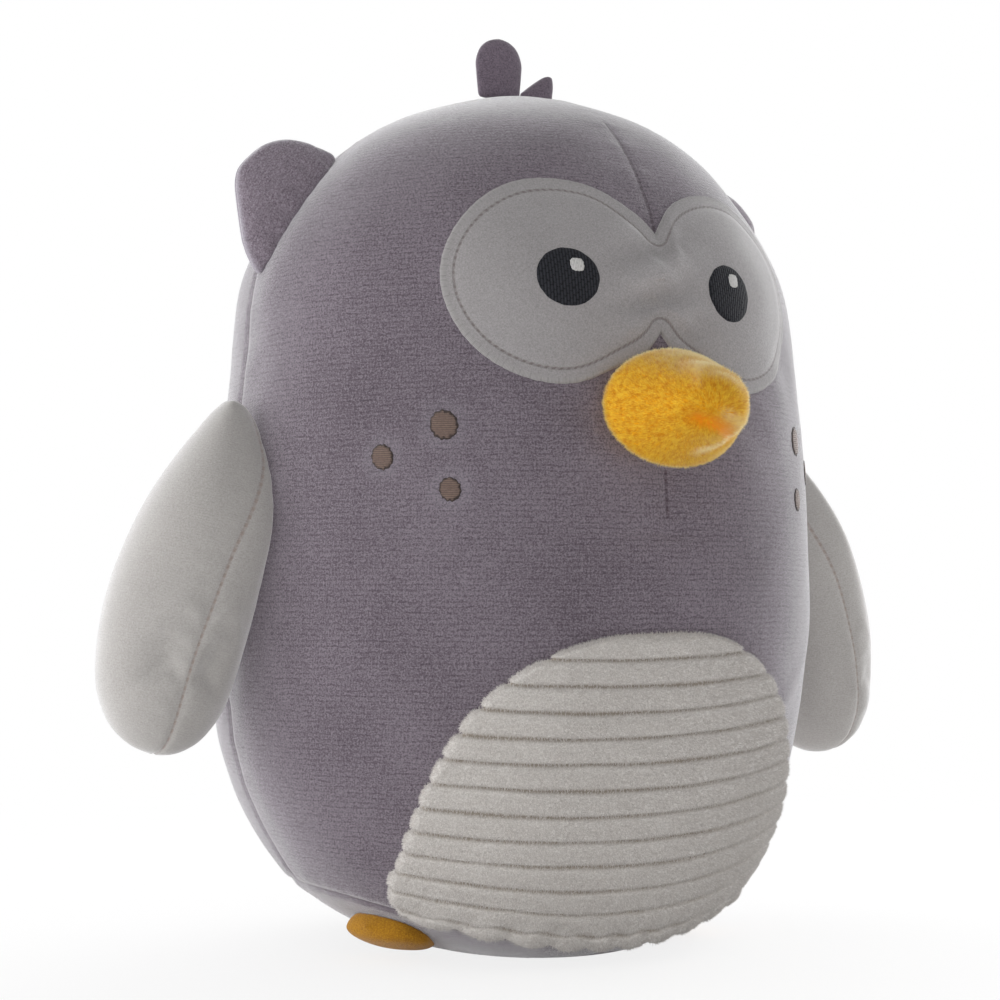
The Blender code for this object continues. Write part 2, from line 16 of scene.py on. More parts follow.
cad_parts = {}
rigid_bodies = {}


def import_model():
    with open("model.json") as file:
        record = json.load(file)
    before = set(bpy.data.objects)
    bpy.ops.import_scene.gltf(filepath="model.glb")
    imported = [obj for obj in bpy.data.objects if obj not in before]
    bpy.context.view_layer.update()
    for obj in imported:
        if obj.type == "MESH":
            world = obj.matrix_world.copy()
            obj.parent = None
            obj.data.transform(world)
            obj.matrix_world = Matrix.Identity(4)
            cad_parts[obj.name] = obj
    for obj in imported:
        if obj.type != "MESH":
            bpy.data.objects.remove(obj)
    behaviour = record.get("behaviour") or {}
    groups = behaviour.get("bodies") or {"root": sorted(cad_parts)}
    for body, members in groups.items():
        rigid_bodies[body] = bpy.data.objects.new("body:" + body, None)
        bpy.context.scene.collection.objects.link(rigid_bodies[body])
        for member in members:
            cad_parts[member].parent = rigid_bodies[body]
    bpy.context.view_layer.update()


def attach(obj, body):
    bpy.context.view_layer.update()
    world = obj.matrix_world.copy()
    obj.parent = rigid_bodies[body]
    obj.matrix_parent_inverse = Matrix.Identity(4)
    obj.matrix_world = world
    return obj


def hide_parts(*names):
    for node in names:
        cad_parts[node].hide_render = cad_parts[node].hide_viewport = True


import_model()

# %% [markdown]
# ## The owl's measures
#
# The dressed pieces have to sit where the construction model has its solids, so the lesson uses
# the same measures and the same smooth curve for the body. All lengths are metres.
# %% The body's curve
body_height, body_width, body_depth, back_fullness = 0.246, 0.178, 0.172, 0.005
profile_height_shares = (0.0, 0.055, 0.125, 0.22, 0.36, 0.52, 0.66, 0.77, 0.85, 0.925, 0.972, 1.0)
profile_width_shares = (0.59, 0.718, 0.846, 0.951, 1.0, 0.980, 0.941, 0.904, 0.790, 0.602, 0.365, 0.0)
fullness_points = ((0.0, 0.0), (0.22, 1.0), (0.45, 0.5), (0.65, 0.25), (0.80, 0.55), (0.88, 0.4), (1.0, 0.0))
side_seam = math.radians(94.0)
mm = 1000.0


def spline(points, after):
    """Points along a smooth curve through the given ones; the last tangent heads for the point after."""
    points = [np.array(p, float) for p in points]
    points = [2 * points[0] - points[1]] + points + [np.array(after, float)]
    t = np.linspace(0.0, 1.0, 24, endpoint=False)[:, None]
    curve = []
    for a, b, c, d in zip(points, points[1:], points[2:], points[3:]):
        square_term, cube_term = 2 * a - 5 * b + 4 * c - d, 3 * b - a - 3 * c + d
        curve.append((2 * b + (c - a) * t + square_term * t ** 2 + cube_term * t ** 3) / 2)
    return np.vstack(curve + [points[-2][None]])


def smooth_table(pairs):
    """A function that follows a table of shares smoothly."""
    curve = spline(pairs, 2 * np.array(pairs[-1]) - np.array(pairs[-2]))
    return lambda t: np.maximum(0.0, np.interp(t, curve[:, 0], curve[:, 1]))


after_crown = (profile_height_shares[-2], -profile_width_shares[-2])
profile = spline(list(zip(profile_height_shares, profile_width_shares)), after_crown)
profile_z = profile[:, 0] * body_height
profile_share = profile[:, 1]
profile_steps = np.hypot(np.diff(profile_z), np.diff(profile_share * body_width / 2))
profile_run = np.concatenate(([0.0], np.cumsum(profile_steps)))
full_run = profile_run[-1]
fullness = smooth_table(fullness_points)
print("length of the profile from the ground to the crown:", round(full_run * mm), "mm")


# %% Points on the body
def run_at(z):
    return np.interp(z, profile_z, profile_run)


def half_width_at(z):
    return np.interp(z, profile_z, profile_share) * body_width / 2


def spine_y(z):
    return back_fullness * fullness(np.asarray(z) / body_height)


def skin(angle, run):
    """Points on the body: angle round from the front towards the owl's left, run up the profile."""
    z = np.interp(run, profile_run, profile_z)
    share = np.interp(run, profile_run, profile_share)
    across = share * body_width / 2 * np.sin(angle)
    return np.stack([across, spine_y(z) - share * body_depth / 2 * np.cos(angle), z], -1)


def skin_normal(angle, run):
    """The directions out of the body there."""
    run = np.clip(run, 0.0, full_run - 0.0004)
    round_way = skin(angle + 0.001, run) - skin(angle - 0.001, run)
    up_way = skin(angle, run + 0.0003) - skin(angle, run - 0.0003)
    return unit(np.cross(round_way, up_way))


def base_seam_z(angle):
    """The height of the seam round the base panel, which rises at the sides."""
    return 0.0045 + 0.0140 * np.sin(angle) ** 2


def base_skin(angle, q):
    """Points under the body: q is -1 at the middle, 0 at the edge of the flat and 1 at the seam."""
    flat = np.stack([body_width / 2 * 0.3034 * np.sin(angle), -body_depth / 2 * 0.4651 * np.cos(angle), 0 * angle], -1)
    rim = skin(angle, run_at(base_seam_z(angle)))
    inner, outer = np.minimum(q, 0.0)[:, None], np.maximum(q, 0.0)[:, None]
    place = flat * (1 + inner) * (1 - outer) + rim * outer
    place[:, 2] = rim[:, 2] * outer[:, 0] ** 1.6
    return place


def inside_share(points):
    """Below 1 inside the body at the point's height, above 1 outside it."""
    share = np.maximum(np.interp(points[:, 2], profile_z, profile_share), 0.0001)
    x = points[:, 0] / (share * body_width / 2)
    y = (points[:, 1] - spine_y(points[:, 2])) / (share * body_depth / 2)
    return np.where(points[:, 2] > body_height, 2.0, np.hypot(x, y))


def seat_run(points, along):
    """How far each point has to go along a direction to reach the body's surface."""
    low, high = np.full(len(points), -0.04), np.full(len(points), 0.04)
    for _ in range(16):
        middle = (low + high) / 2
        outside = inside_share(points + np.outer(middle, along)) > 1
        low, high = np.where(outside, low, middle), np.where(outside, middle, high)
    return high


# %% [markdown]
# ## Starting shapes
#
# A stuffed form begins as a ball, a fabric patch as a round or square sheet, and an embroidered
# band as a hoop. Blender's own tools make these shapes. The rows and columns of each are then laid
# where the sewing pattern has them, so a seam always falls on a line of the mesh.
# %% Make the starting shapes
def unit(ways):
    return ways / np.linalg.norm(ways, axis=-1, keepdims=True)


def ripple(x):
    """An uneven wave between about -1 and 1."""
    return (np.sin(x) + 0.6 * np.sin(2.3 * x + 1.3) + 0.35 * np.sin(4.1 * x + 0.4)) / 1.6


def ease(x, low, high):
    """0 below low, 1 above high, smooth between them."""
    t = np.clip((np.asarray(x) - low) / (high - low), 0.0, 1.0)
    return t * t * (3 - 2 * t)


def hill(x, middle, width):
    """1 at the middle, and falling smoothly to nothing within about twice the width."""
    return np.exp(-((x - middle) / width) ** 2)


def begin(piece=None):
    """Nothing but the piece may be selected, because tools act on all that is selected."""
    bpy.ops.object.select_all(action="DESELECT")
    if piece:
        bpy.context.view_layer.objects.active = piece
        piece.select_set(True)


def take(name):
    piece = bpy.context.object
    piece.name = piece.data.name = name
    while piece.data.uv_layers:
        piece.data.uv_layers.remove(piece.data.uv_layers[0])
    return piece


def read(items, name, width=1, kind=float):
    """One property of all the points, faces or corners of a mesh."""
    values = np.empty(len(items) * width, kind)
    items.foreach_get(name, values)
    return values.reshape(-1, width) if width > 1 else values


def points_of(piece):
    return read(piece.data.vertices, "co", 3)


def lay(piece, points):
    """Puts every point of a piece in its place."""
    piece.data.vertices.foreach_set("co", np.ascontiguousarray(points, dtype=np.float32).ravel())
    piece.data.update()


def ball(name, segments, rings):
    """A ball, with each point's angle round from the front and its level from 0 at the bottom to 1 at the top."""
    begin()
    bpy.ops.mesh.primitive_uv_sphere_add(segments=segments, ring_count=rings, radius=1.0)
    piece = take(name)
    co = points_of(piece)
    angle = np.arctan2(co[:, 0], -co[:, 1])
    level = np.arcsin(np.clip(co[:, 2], -1, 1)) / math.pi + 0.5
    return piece, angle, np.round(level * rings) / rings


def square(name, columns, rows):
    """A square sheet, with each point's place from 0 to 1 across and up."""
    begin()
    bpy.ops.mesh.primitive_grid_add(x_subdivisions=columns, y_subdivisions=rows, size=1.0)
    piece = take(name)
    co = points_of(piece)
    return piece, co[:, 0] + 0.5, co[:, 1] + 0.5


def disc(name, points, rings):
    """A round sheet: a circle extruded inwards ring by ring. Each point has an angle and a reach from 0 to 1."""
    begin()
    bpy.ops.mesh.primitive_circle_add(vertices=points, radius=1.0, fill_type="NOTHING")
    piece = take(name)
    bpy.ops.object.mode_set(mode="EDIT")
    bpy.ops.mesh.select_all(action="SELECT")
    for ring in range(rings, 1, -1):
        bpy.ops.mesh.extrude_edges_move()
        shrink = (ring - 1) / ring
        bpy.ops.transform.resize(value=(shrink, shrink, 1.0), center_override=(0.0, 0.0, 0.0))
    bpy.ops.mesh.extrude_edges_move()
    bpy.ops.mesh.merge(type="CENTER")
    bpy.ops.object.mode_set(mode="OBJECT")
    co = points_of(piece)
    return piece, np.arctan2(co[:, 1], co[:, 0]), np.hypot(co[:, 0], co[:, 1])


def hoop(name, segments, sides):
    """A hoop, with each point's turn along it and its angle round its section."""
    begin()
    bpy.ops.mesh.primitive_torus_add(major_segments=segments, minor_segments=sides, major_radius=1.0, minor_radius=0.2)
    piece = take(name)
    co = points_of(piece)
    return piece, np.arctan2(co[:, 1], co[:, 0]), np.arctan2(co[:, 2], np.hypot(co[:, 0], co[:, 1]) - 1.0)


# %% Finish the shapes
def subdivide(piece, levels):
    begin(piece)
    modifier = piece.modifiers.new("Subdivision", "SUBSURF")
    modifier.levels = modifier.render_levels = levels
    bpy.ops.object.modifier_apply(modifier=modifier.name)


def face_out(piece):
    """Turns the faces of a closed piece outwards and shades it smooth."""
    begin(piece)
    bpy.ops.object.mode_set(mode="EDIT")
    bpy.ops.mesh.select_all(action="SELECT")
    bpy.ops.mesh.normals_make_consistent(inside=False)
    bpy.ops.object.mode_set(mode="OBJECT")
    bpy.ops.object.shade_smooth()


def face_along(piece, way):
    """Turns the faces of an open sheet so that they look one way."""
    face_out(piece)
    if (read(piece.data.polygons, "normal", 3) @ np.array(way)).sum() < 0:
        bpy.ops.object.mode_set(mode="EDIT")
        bpy.ops.mesh.flip_normals()
        bpy.ops.object.mode_set(mode="OBJECT")


def normals_of(piece):
    return read(piece.data.vertex_normals, "vector", 3)


def keep(piece, name, values):
    """Keeps a number at every point, for the fabric to read."""
    attribute = piece.data.attributes.get(name) or piece.data.attributes.new(name, "FLOAT", "POINT")
    attribute.data.foreach_set("value", np.asarray(values, np.float32))


def kept(piece, name):
    return read(piece.data.attributes[name].data, "value", kind=np.float32)


def write_map(piece, name, places):
    places = np.asarray(places, np.float32).ravel()
    piece.data.uv_layers.new(name=name).data.foreach_set("uv", places)


def flat_map(piece, across, up):
    """A map in millimetres on the cloth, by each point's place across and up the sheet."""
    corner = read(piece.data.loops, "vertex_index", kind=int)
    write_map(piece, "fabric", np.stack([across[corner] * mm, up[corner] * mm], -1))


def fabric_map(piece, angle, radius, up, poles=None):
    """A map in millimetres on the cloth: round the piece by angle times radius, and up it.

    On a ball the map is cut where the angle jumps, and each pole takes the angle of its own face.
    """
    corner = read(piece.data.loops, "vertex_index", kind=int)
    sizes = read(piece.data.polygons, "loop_total", kind=int)
    face = np.repeat(np.arange(len(sizes)), sizes)
    turn = angle[corner]
    weight = np.ones(len(corner)) if poles is None else 1.0 - poles[corner]
    middle = np.arctan2(np.bincount(face, np.sin(turn) * weight), np.bincount(face, np.cos(turn) * weight))[face]
    turn = middle + (turn - middle + math.pi) % (2 * math.pi) - math.pi
    turn = np.where(weight > 0, turn, middle)
    write_map(piece, "fabric", np.stack([turn * radius[corner] * mm, up[corner] * mm], -1))


# %% [markdown]
# ## Stuffing
#
# Stuffing pushes the fabric out everywhere except along the seams. Blender's cloth with a little
# pressure inside does the same: the points on the seams are pinned, gravity is off, and the swell
# of every other point is kept to a few millimetres so that the owl keeps its measures.
# %% Stuff a piece
def stuff(piece, sewn, most, pressure=4.0):
    """Swells a piece by cloth simulation. The sewn points stay, and no point moves further than the most."""
    start = points_of(piece)
    group = piece.vertex_groups.new(name="sewn")
    group.add([int(i) for i in np.flatnonzero(sewn)], 1.0, "REPLACE")
    cloth = piece.modifiers.new("Cloth", "CLOTH")
    cloth.settings.quality = 6
    cloth.settings.mass = 0.15
    cloth.settings.use_pressure = True
    cloth.settings.uniform_pressure_force = pressure
    cloth.settings.effector_weights.gravity = 0.0
    cloth.settings.vertex_group_mass = "sewn"
    last_step = 20
    cloth.point_cache.frame_start, cloth.point_cache.frame_end = 1, last_step
    for step in range(1, last_step + 1):
        bpy.context.scene.frame_set(step)
    move = points_of(piece.evaluated_get(bpy.context.evaluated_depsgraph_get())) - start
    far = np.linalg.norm(move, axis=1, keepdims=True)
    piece.modifiers.remove(cloth)
    piece.vertex_groups.remove(group)
    lay(piece, start + move * np.minimum(1.0, most / np.maximum(far, 1e-9)))
    bpy.context.scene.frame_set(1)
    print(piece.name, "stuffed: the furthest point would move", round(float(far.max()) * mm, 1), "mm,",
          "kept to", most * mm)


def push(piece, amount):
    """Moves every point along its own normal."""
    lay(piece, points_of(piece) + normals_of(piece) * np.asarray(amount)[:, None])


# %% [markdown]
# ## The body
#
# One ball makes the whole body: its lower rows are the base panel, and the rows above it the front
# and back panels. Columns of the mesh lie on the side seams, the back seam, the forehead dart and
# the chin dart. The seams are drawn in a little, the panels swell between them, and small puckers
# run across each seam, as they do where stitches gather a pile fabric. The nap is parted round the
# embroidered cheek spots.
# %% Lay the body's rows and columns
flat_rows, base_rows, body_rings, body_columns = 4, 16, 64, 96
body, body_angle, body_level = ball("body_plush", body_columns, body_rings)
edge = 2 * math.pi * 25 / body_columns
front_share = side_seam / edge
back_share = (math.pi - side_seam) / (math.pi - edge)
body_angle = np.where(np.abs(body_angle) <= edge, body_angle * front_share,
                      np.sign(body_angle) * (math.pi - (math.pi - np.abs(body_angle)) * back_share))
row = np.round(body_level * body_rings)
q = np.where(row <= flat_rows, row / flat_rows - 1, (row - flat_rows) / (base_rows - flat_rows))
seam_run = run_at(base_seam_z(body_angle))
up_run = seam_run + (full_run - seam_run) * np.clip((row - base_rows) / (body_rings - base_rows), 0, 1)
upper = row >= base_rows
places = np.where(upper[:, None], skin(body_angle, up_run), base_skin(body_angle, np.minimum(q, 1.0)))
off_middle = 0.0032 / np.maximum(np.hypot(places[:, 0], places[:, 1]), 0.02)
off_middle *= ease(places[:, 2], 0.178, 0.205) * (1 - ease(np.abs(body_angle), 0.3, 1.5))
lay(body, np.where(upper[:, None], skin(body_angle + off_middle, up_run), places))
face_out(body)

# %% Mark the body's seams
height = places[:, 2]
radius = np.hypot(places[:, 0], places[:, 1])
turn = np.abs(body_angle)
seams = [np.abs(turn - side_seam) * radius, (math.pi - turn) * radius,
         turn * radius + 0.03 * (1 - ease(height, 0.186, 0.192)),
         turn * radius + 0.0001 + 0.03 * (1 - ease(height, 0.115, 0.1195)) + 0.03 * ease(height, 0.136, 0.140)]
across_base = np.abs(up_run - seam_run)
base_run = -np.linalg.norm(places - base_skin(body_angle, np.ones(len(row))), axis=1)
vertical = np.minimum.reduce(seams)
vertical = np.where(upper, vertical, 0.03)
from_base = np.where(upper, across_base, -base_run)
seam = np.minimum(vertical, from_base)
along = np.where(vertical < from_base, up_run, body_angle * radius)
keep(body, "seam", np.minimum(seam + 0.003 * ease(height, 0.230, 0.238) * (places[:, 1] < 0), 0.03) * mm)
keep(body, "along", along * mm)
poles = ((row == 0) | (row == body_rings)).astype(float)
fabric_map(body, body_angle, np.maximum(radius, 0.03), np.where(upper, up_run, seam_run + base_run), poles)
body_sewn = (seam < 0.0008) | (q <= 0)
crown = ease(height, 0.222, 0.242)
push(body, np.where(q <= 0, 0.0, -0.0010 + 0.0007 * crown + 0.0009 * ease(seam, 0.0, 0.02) * (1 - crown)))
stuff(body, body_sewn, 0.0020)
subdivide(body, 2)
print("body:", len(body.data.polygons), "faces")

# %% Gather the fabric at the seams
seam, along = kept(body, "seam"), kept(body, "along")
co = points_of(body)
pucker = ripple(along / 2.1) * hill(seam, 0, 6.0) * ease(seam, 0.2, 1.6) * 0.00016
forehead = ease(co[:, 2], 0.180, 0.190) * (co[:, 1] < -0.02)
groove = -0.00055 * hill(seam, 0, 1.3) * (1 - 0.45 * forehead) * (1 - ease(co[:, 2], 0.222, 0.238))
chin = -0.0010 * np.exp(-((co[:, 2] - 0.1165) / 0.0020) ** 2 - (co[:, 0] / 0.011) ** 2) * (co[:, 1] < 0)
slack = ripple(co[:, 0] * 62 + 2.2 * np.sin(co[:, 2] * 41)) * ripple(co[:, 2] * 47 + 1.7 * np.sin(co[:, 1] * 53))
push(body, np.where(co[:, 2] > 0.001, pucker + groove + chin + 0.0005 * slack, 0.0))
co = points_of(body)
# Each cheek spot: its place round the body from the front, its height as a share, and its width.
spot_places = (("upper", 0.0602, 0.58440, 0.0075), ("outer", 0.0775, 0.55203, 0.0064),
               ("lower", 0.0590, 0.51707, 0.0059))
parted = np.zeros(len(co))
for name, offset, height_share, width in spot_places:
    turned = offset / half_width_at(body_height * height_share)
    for way in (-1, 1):
        middle = skin(np.array([way * turned]), run_at(np.array([body_height * height_share])))[0]
        far = np.linalg.norm(co - middle, axis=1)
        parted = np.maximum(parted, np.exp(-((far - width * 0.62) / 0.0022) ** 2))
keep(body, "parted", parted)
body_tree = BVHTree.FromPolygons([Vector(p) for p in points_of(body)], [p.vertices[:] for p in body.data.polygons])
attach(body, "trunk")
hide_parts("front_panel", "back_panel_left", "back_panel_right", "base_panel", "body_stuffing")


# %% [markdown]
# ## Laying things on the body
#
# Patches and embroidery are sewn onto the body's front, so each of their points is dropped onto
# the swollen body and lifted by its own thickness.
# %% Drop points on the body
def on_body(angle, run, lift):
    """Points on the dressed body, lifted off it."""
    points, ways = skin(angle, run), skin_normal(angle, run)
    laid = np.empty_like(points)
    for i, (point, way) in enumerate(zip(points, ways)):
        hit = body_tree.ray_cast(Vector(point + way * 0.01), Vector(-way), 0.03)[0]
        laid[i] = point if hit is None else hit
    return laid + ways * np.asarray(lift)[..., None]


def on_front(across, z, lift):
    """Points of the front, across as measured round the body from its middle line."""
    return on_body(across / half_width_at(z), run_at(z), lift)


# %% [markdown]
# ## The eye patch
#
# A white patch in the shape of two joined round lobes. Its edge is covered by a band of close
# stitches that lie square to the edge, and a line of small stitches runs just inside the band.
# The outline is drawn first, at even steps, and the sheet and the band both follow it.
# %% Draw the outline of the lobes
eye_z, eye_x, lobe_offset = body_height * 0.73618 + 0.0006, -0.0008, 0.027
lobe_a, lobe_b = 0.0314, body_height * 0.22358 / 2 + 0.0008
half_band = 0.0016


def lobe_reach(theta):
    """How far the outline of the two lobes is from the middle between the eyes, in each direction."""
    c, s = np.abs(np.cos(theta)), np.sin(theta)
    a = c ** 2 / lobe_a ** 2 + s ** 2 / lobe_b ** 2
    b = -2 * lobe_offset * c / lobe_a ** 2
    return (-b + np.sqrt(b ** 2 - 4 * a * (lobe_offset ** 2 / lobe_a ** 2 - 1))) / (2 * a)


def sewn_outline(points):
    """The outline as it is sewn: drawn up between the lobes' lower sides, and leaning over at the top."""
    x, y = points[:, 0], points[:, 1]
    from_side = np.abs(x) - 0.0125
    raised = 0.0009 * ease(-y, 0.0, 0.012) + 0.0005 * hill(x, 0, 0.003) * (y < 0)
    raised += 0.0020 * np.exp(-(from_side / np.where(from_side > 0, 0.0090, 0.0070)) ** 2) * ease(-y, 0.004, 0.012)
    lean = ease(y, 0.0, 0.026) * (0.0016 + 0.0017 * ease(-x, 0.0, 0.026))
    notch = 0.0022 * hill(x, 0, 0.007) * ease(y, 0.0, 0.012)
    return np.stack([x + eye_x + lean + notch, y + raised], -1)


theta = np.linspace(0, 2 * math.pi, 4001)
outline = np.stack([lobe_reach(theta) * np.cos(theta), lobe_reach(theta) * np.sin(theta)], -1)
outline_run = np.concatenate(([0.0], np.cumsum(np.linalg.norm(np.diff(outline, axis=0), axis=1))))
outline_length = outline_run[-1]
print("the band round the eye patch is", round(outline_length * mm), "mm long")


def along_outline(share, drawn_in):
    """Points of the outline at even steps, drawn in by a distance."""
    run = (share % 1.0) * outline_length
    at = lambda r: np.stack([np.interp(r % outline_length, outline_run, outline[:, i]) for i in (0, 1)], -1)
    way = at(run + 0.0012) - at(run - 0.0012)
    way = unit(way)
    inward = np.stack([-way[:, 1], way[:, 0]], -1)
    place = at(run)
    centre_way = -unit(place)
    pinch = np.exp(-(place[:, :1] / 0.006) ** 2)
    return place + (inward * (1 - pinch) + centre_way * pinch) * np.asarray(drawn_in)[:, None]


# %% Make the eye patch
patch, theta, reach = disc("eye_patch_plush", 168, 36)
edge_reach = lobe_reach(theta) - half_band
across, up = edge_reach * reach * np.cos(theta), edge_reach * reach * np.sin(theta)
flat_place = np.stack([across, up], -1)
from_edge = np.linalg.norm(flat_place[:, None] - outline[None, ::8], axis=2).min(axis=1) - half_band
puff = 0.0009 + 0.0003 * ease(from_edge, 0.0018, 0.0050) + 0.0007 * ease(from_edge, 0.004, 0.018)
bridge = hill(across, 0, 0.010)
folds = np.sin(up * 430 - across * 150 + 0.8) * bridge * ease(from_edge, 0.001, 0.006)
puff += 0.0009 * (folds + 0.6 * bridge * ease(from_edge, 0.001, 0.006))
wrinkles = ripple(up * 300 + across * 260 + 2.0) + 0.8
puff += 0.0004 * hill(across, 0, 0.012) * wrinkles * ease(from_edge, 0.002, 0.008)
puff += 0.0010 * hill(across, 0.005, 0.003) * ease(up, 0.001, 0.010) * ease(from_edge, 0.0, 0.002)
stitch_line = 0.0021
puff -= 0.0002 * hill(from_edge, stitch_line, 0.0005)
sewn_place = sewn_outline(flat_place)
lay(patch, on_front(sewn_place[:, 0], eye_z + sewn_place[:, 1], puff))
face_along(patch, (0, -1, 0))
flat_map(patch, across, up)
keep(patch, "seam", (from_edge - stitch_line) * mm)
keep(patch, "along", theta * 68.0)
# The folds are kept for painted shade and light: the patch's colour is darker in their hollows and paler on their
# crests.
keep(patch, "fold", folds)
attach(patch, "trunk")
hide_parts("eye_patch")

# %% Make the stitched band round the patch
band, turn, section = hoop("eye_patch_band", 560, 12)
share = turn / (2 * math.pi)
drawn_in = half_band - (0.0017 + 0.00008 * ripple(turn * 173)) * np.cos(section)
flat_place = sewn_outline(along_outline(share, drawn_in))
ragged_edge = 0.00006 * ripple(turn * 190) * np.clip(np.cos(section), 0, 1)
over = np.sin(section)
lift = 0.0003 + np.where(over > 0, 0.0006, 0.0009) * np.abs(over) ** 0.6 * np.sign(over) + ragged_edge
lay(band, on_front(flat_place[:, 0], eye_z + flat_place[:, 1], lift))
face_out(band)
fabric_map(band, turn, np.full(len(turn), outline_length / (2 * math.pi)), half_band - drawn_in)
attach(band, "trunk")
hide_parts("eye_patch_border")


# %% [markdown]
# ## Embroidered eyes and cheek spots
#
# These are filled with rows of thread, so they are slightly domed discs that follow the fabric
# under them. The rows of thread come with their material.
# %% Make the embroidered discs
def stitched_disc(name, node, x, z, width, tallness, bottom, dome, points, rings, ragged, corner=2.0):
    """A domed disc of thread. Its corner is 2 for an oval, and more for a squarer shape."""
    piece, theta, reach = disc(name, points, rings)
    rough = 1 + ragged * np.sin(theta * 11 + x * 900) + ragged * np.sin(theta * 17 + 1) * np.sin(theta * 3)
    rough += ragged * np.sin(theta * 2 + x * 700)
    rough /= (np.abs(np.cos(theta)) ** corner + np.abs(np.sin(theta)) ** corner) ** (1 / corner)
    across, up = width / 2 * reach * np.cos(theta) * rough, tallness / 2 * reach * np.sin(theta) * rough
    lift = bottom + dome * np.sqrt(np.clip(1 - reach ** 2, 0, 1)) - 0.0006 * (reach > 0.99)
    lay(piece, on_front(x + across, z + up, lift))
    face_along(piece, (0, -1, 0))
    flat_map(piece, across, up)
    keep(piece, "reach", reach)
    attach(piece, "trunk")
    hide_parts(node)
    return piece


pupil_z = body_height * 0.73780
pupils, lights, spots = [], [], []
for side, way in (("right", -1), ("left", 1)):
    pupil_width = 0.0168 if way > 0 else 0.0174
    pupils.append(stitched_disc(
        "pupil_stitches_" + side, "pupil_" + side, way * 0.0246 - 0.0013,
        pupil_z - 0.0002 - way * 0.0005, pupil_width, 0.0162, 0.0021, 0.0005, 96, 8, 0.005))
    lights.append(stitched_disc(
        "highlight_stitches_" + side, "highlight_" + side, way * 0.0241 + 0.0006,
        pupil_z + 0.0030 - way * 0.0003, 0.0041, 0.0041, 0.0025, 0.0003, 40, 5, 0.03, 3.2))
    for name, offset, height_share, width in spot_places:
        spots.append(stitched_disc(
            f"cheek_stitches_{name}_{side}", f"cheek_spot_{name}_{side}",
            way * offset + (0.0010 if way > 0 else 0.0), body_height * height_share, width * 1.09, width * 1.20,
            0.0001, 0.0003, 72, 6, 0.035))

# %% [markdown]
# ## The belly patch
#
# Ribbed fleece: soft round ribs with narrow grooves between them. The sheet has twelve rows to a
# rib. The rib ends round off at the patch's edge, and the lowest ribs wave because the patch is
# gathered into the base seam.
# %% Make the ribs
belly_top, belly_middle, belly_drop = body_height * 0.36870, body_height * 0.09756, 0.032
rib_pitch, per_rib = 0.00675, 12
belly_rows = round((belly_top - 0.0048) / rib_pitch * per_rib)
belly, u, v = square("belly_fleece", 160, belly_rows)
u = np.sin((u - 0.5) * math.pi)
down = np.round((1 - v) * belly_rows) / per_rib
z = belly_top - down * rib_pitch
rib_number = np.floor(down)
phase = down - rib_number
rib_round = 1 - np.abs(2 * phase - 1) ** 5.0


def belly_half_width(z, way):
    """Half the width of the patch at a height. Its right shoulder, the owl's own, is the fuller one."""
    above = z > belly_middle
    power = np.where(above, np.where(way < 0, 2.35, 2.12), 2.0)
    share = np.abs(z - belly_middle) / np.where(above, belly_top - belly_middle, belly_drop)
    return np.where(way < 0, 0.065, 0.0630) * np.clip(1 - np.minimum(share, 1.0) ** power, 0, 1) ** (1 / power)


def sag(across):
    """Ribs hang a little lower between the patch's sides, because they run round a bulge."""
    return 0.95 * across ** 2 + 0.0275 * across


def rib_reach(level, way):
    """How far a rib runs to one side before it meets the edge of the patch."""
    reach = belly_half_width(level, way)
    for _ in range(30):
        reach = (reach + belly_half_width(level + sag(way * reach), way)) / 2
    return reach


reach = rib_reach(z, np.sign(u))
uneven = 0.5 + 0.5 * np.sin(rib_number * 2.7 + np.sign(u) * 1.1)
half = reach + (0.0014 + 0.0008 * uneven) * (rib_round - 0.7) * ease(reach, 0.004, 0.02)
across = u * half
angle = across / half_width_at(np.maximum(z, 0.004))
from_edge = half - np.abs(across)
lowest = 1 - ease(v, 0.03, 0.17)
z = z + (base_seam_z(angle) - base_seam_z(0.0)) * (1 - v) ** 5 + sag(across) * ease(v, 0.0, 0.14)
gathers = across * 290 + 0.8 * np.sin(across * 60)
wave = 0.00022 * ripple(across * 70 + rib_number * 1.9) + 0.0007 * np.sin(2 * gathers + rib_number * 0.9) * lowest
scallop = 0.0015 * (1 - np.abs(np.sin(gathers))) * (1 - ease(v, 0.0, 0.07))
z = z + wave * ease(v, 0.0, 0.03) * ease(1 - v, 0.0, 0.03) + scallop
run = run_at(np.maximum(z, base_seam_z(angle) + 0.0002))
end_round = np.sqrt(np.clip(1 - (1 - np.minimum(from_edge / 0.0026, 1.0)) ** 2, 0, 1))
top_round = np.sqrt(np.clip(1 - (1 - np.minimum((1 - v) * 0.086 / 0.0030, 1.0)) ** 2, 0, 1))
pleats = 0.0008 * (np.abs(np.sin(gathers)) - 0.5) * lowest
lift = -0.0008 + (0.0024 + 0.0012 * rib_round + pleats) * end_round * top_round
lay(belly, on_body(angle, run, lift))
face_along(belly, (0, -1, 0))
flat_map(belly, across, run)
keep(belly, "rib", np.minimum(phase, 1 - phase) * rib_pitch * mm)
keep(belly, "lean", (1 - 2 * phase) * np.abs(1 - 2 * phase))
keep(belly, "cover", end_round)
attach(belly, "trunk")
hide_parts("belly_patch")
print("belly:", int(rib_number.max()) + 1, "ribs,", round(rib_pitch * mm, 1), "mm apart")


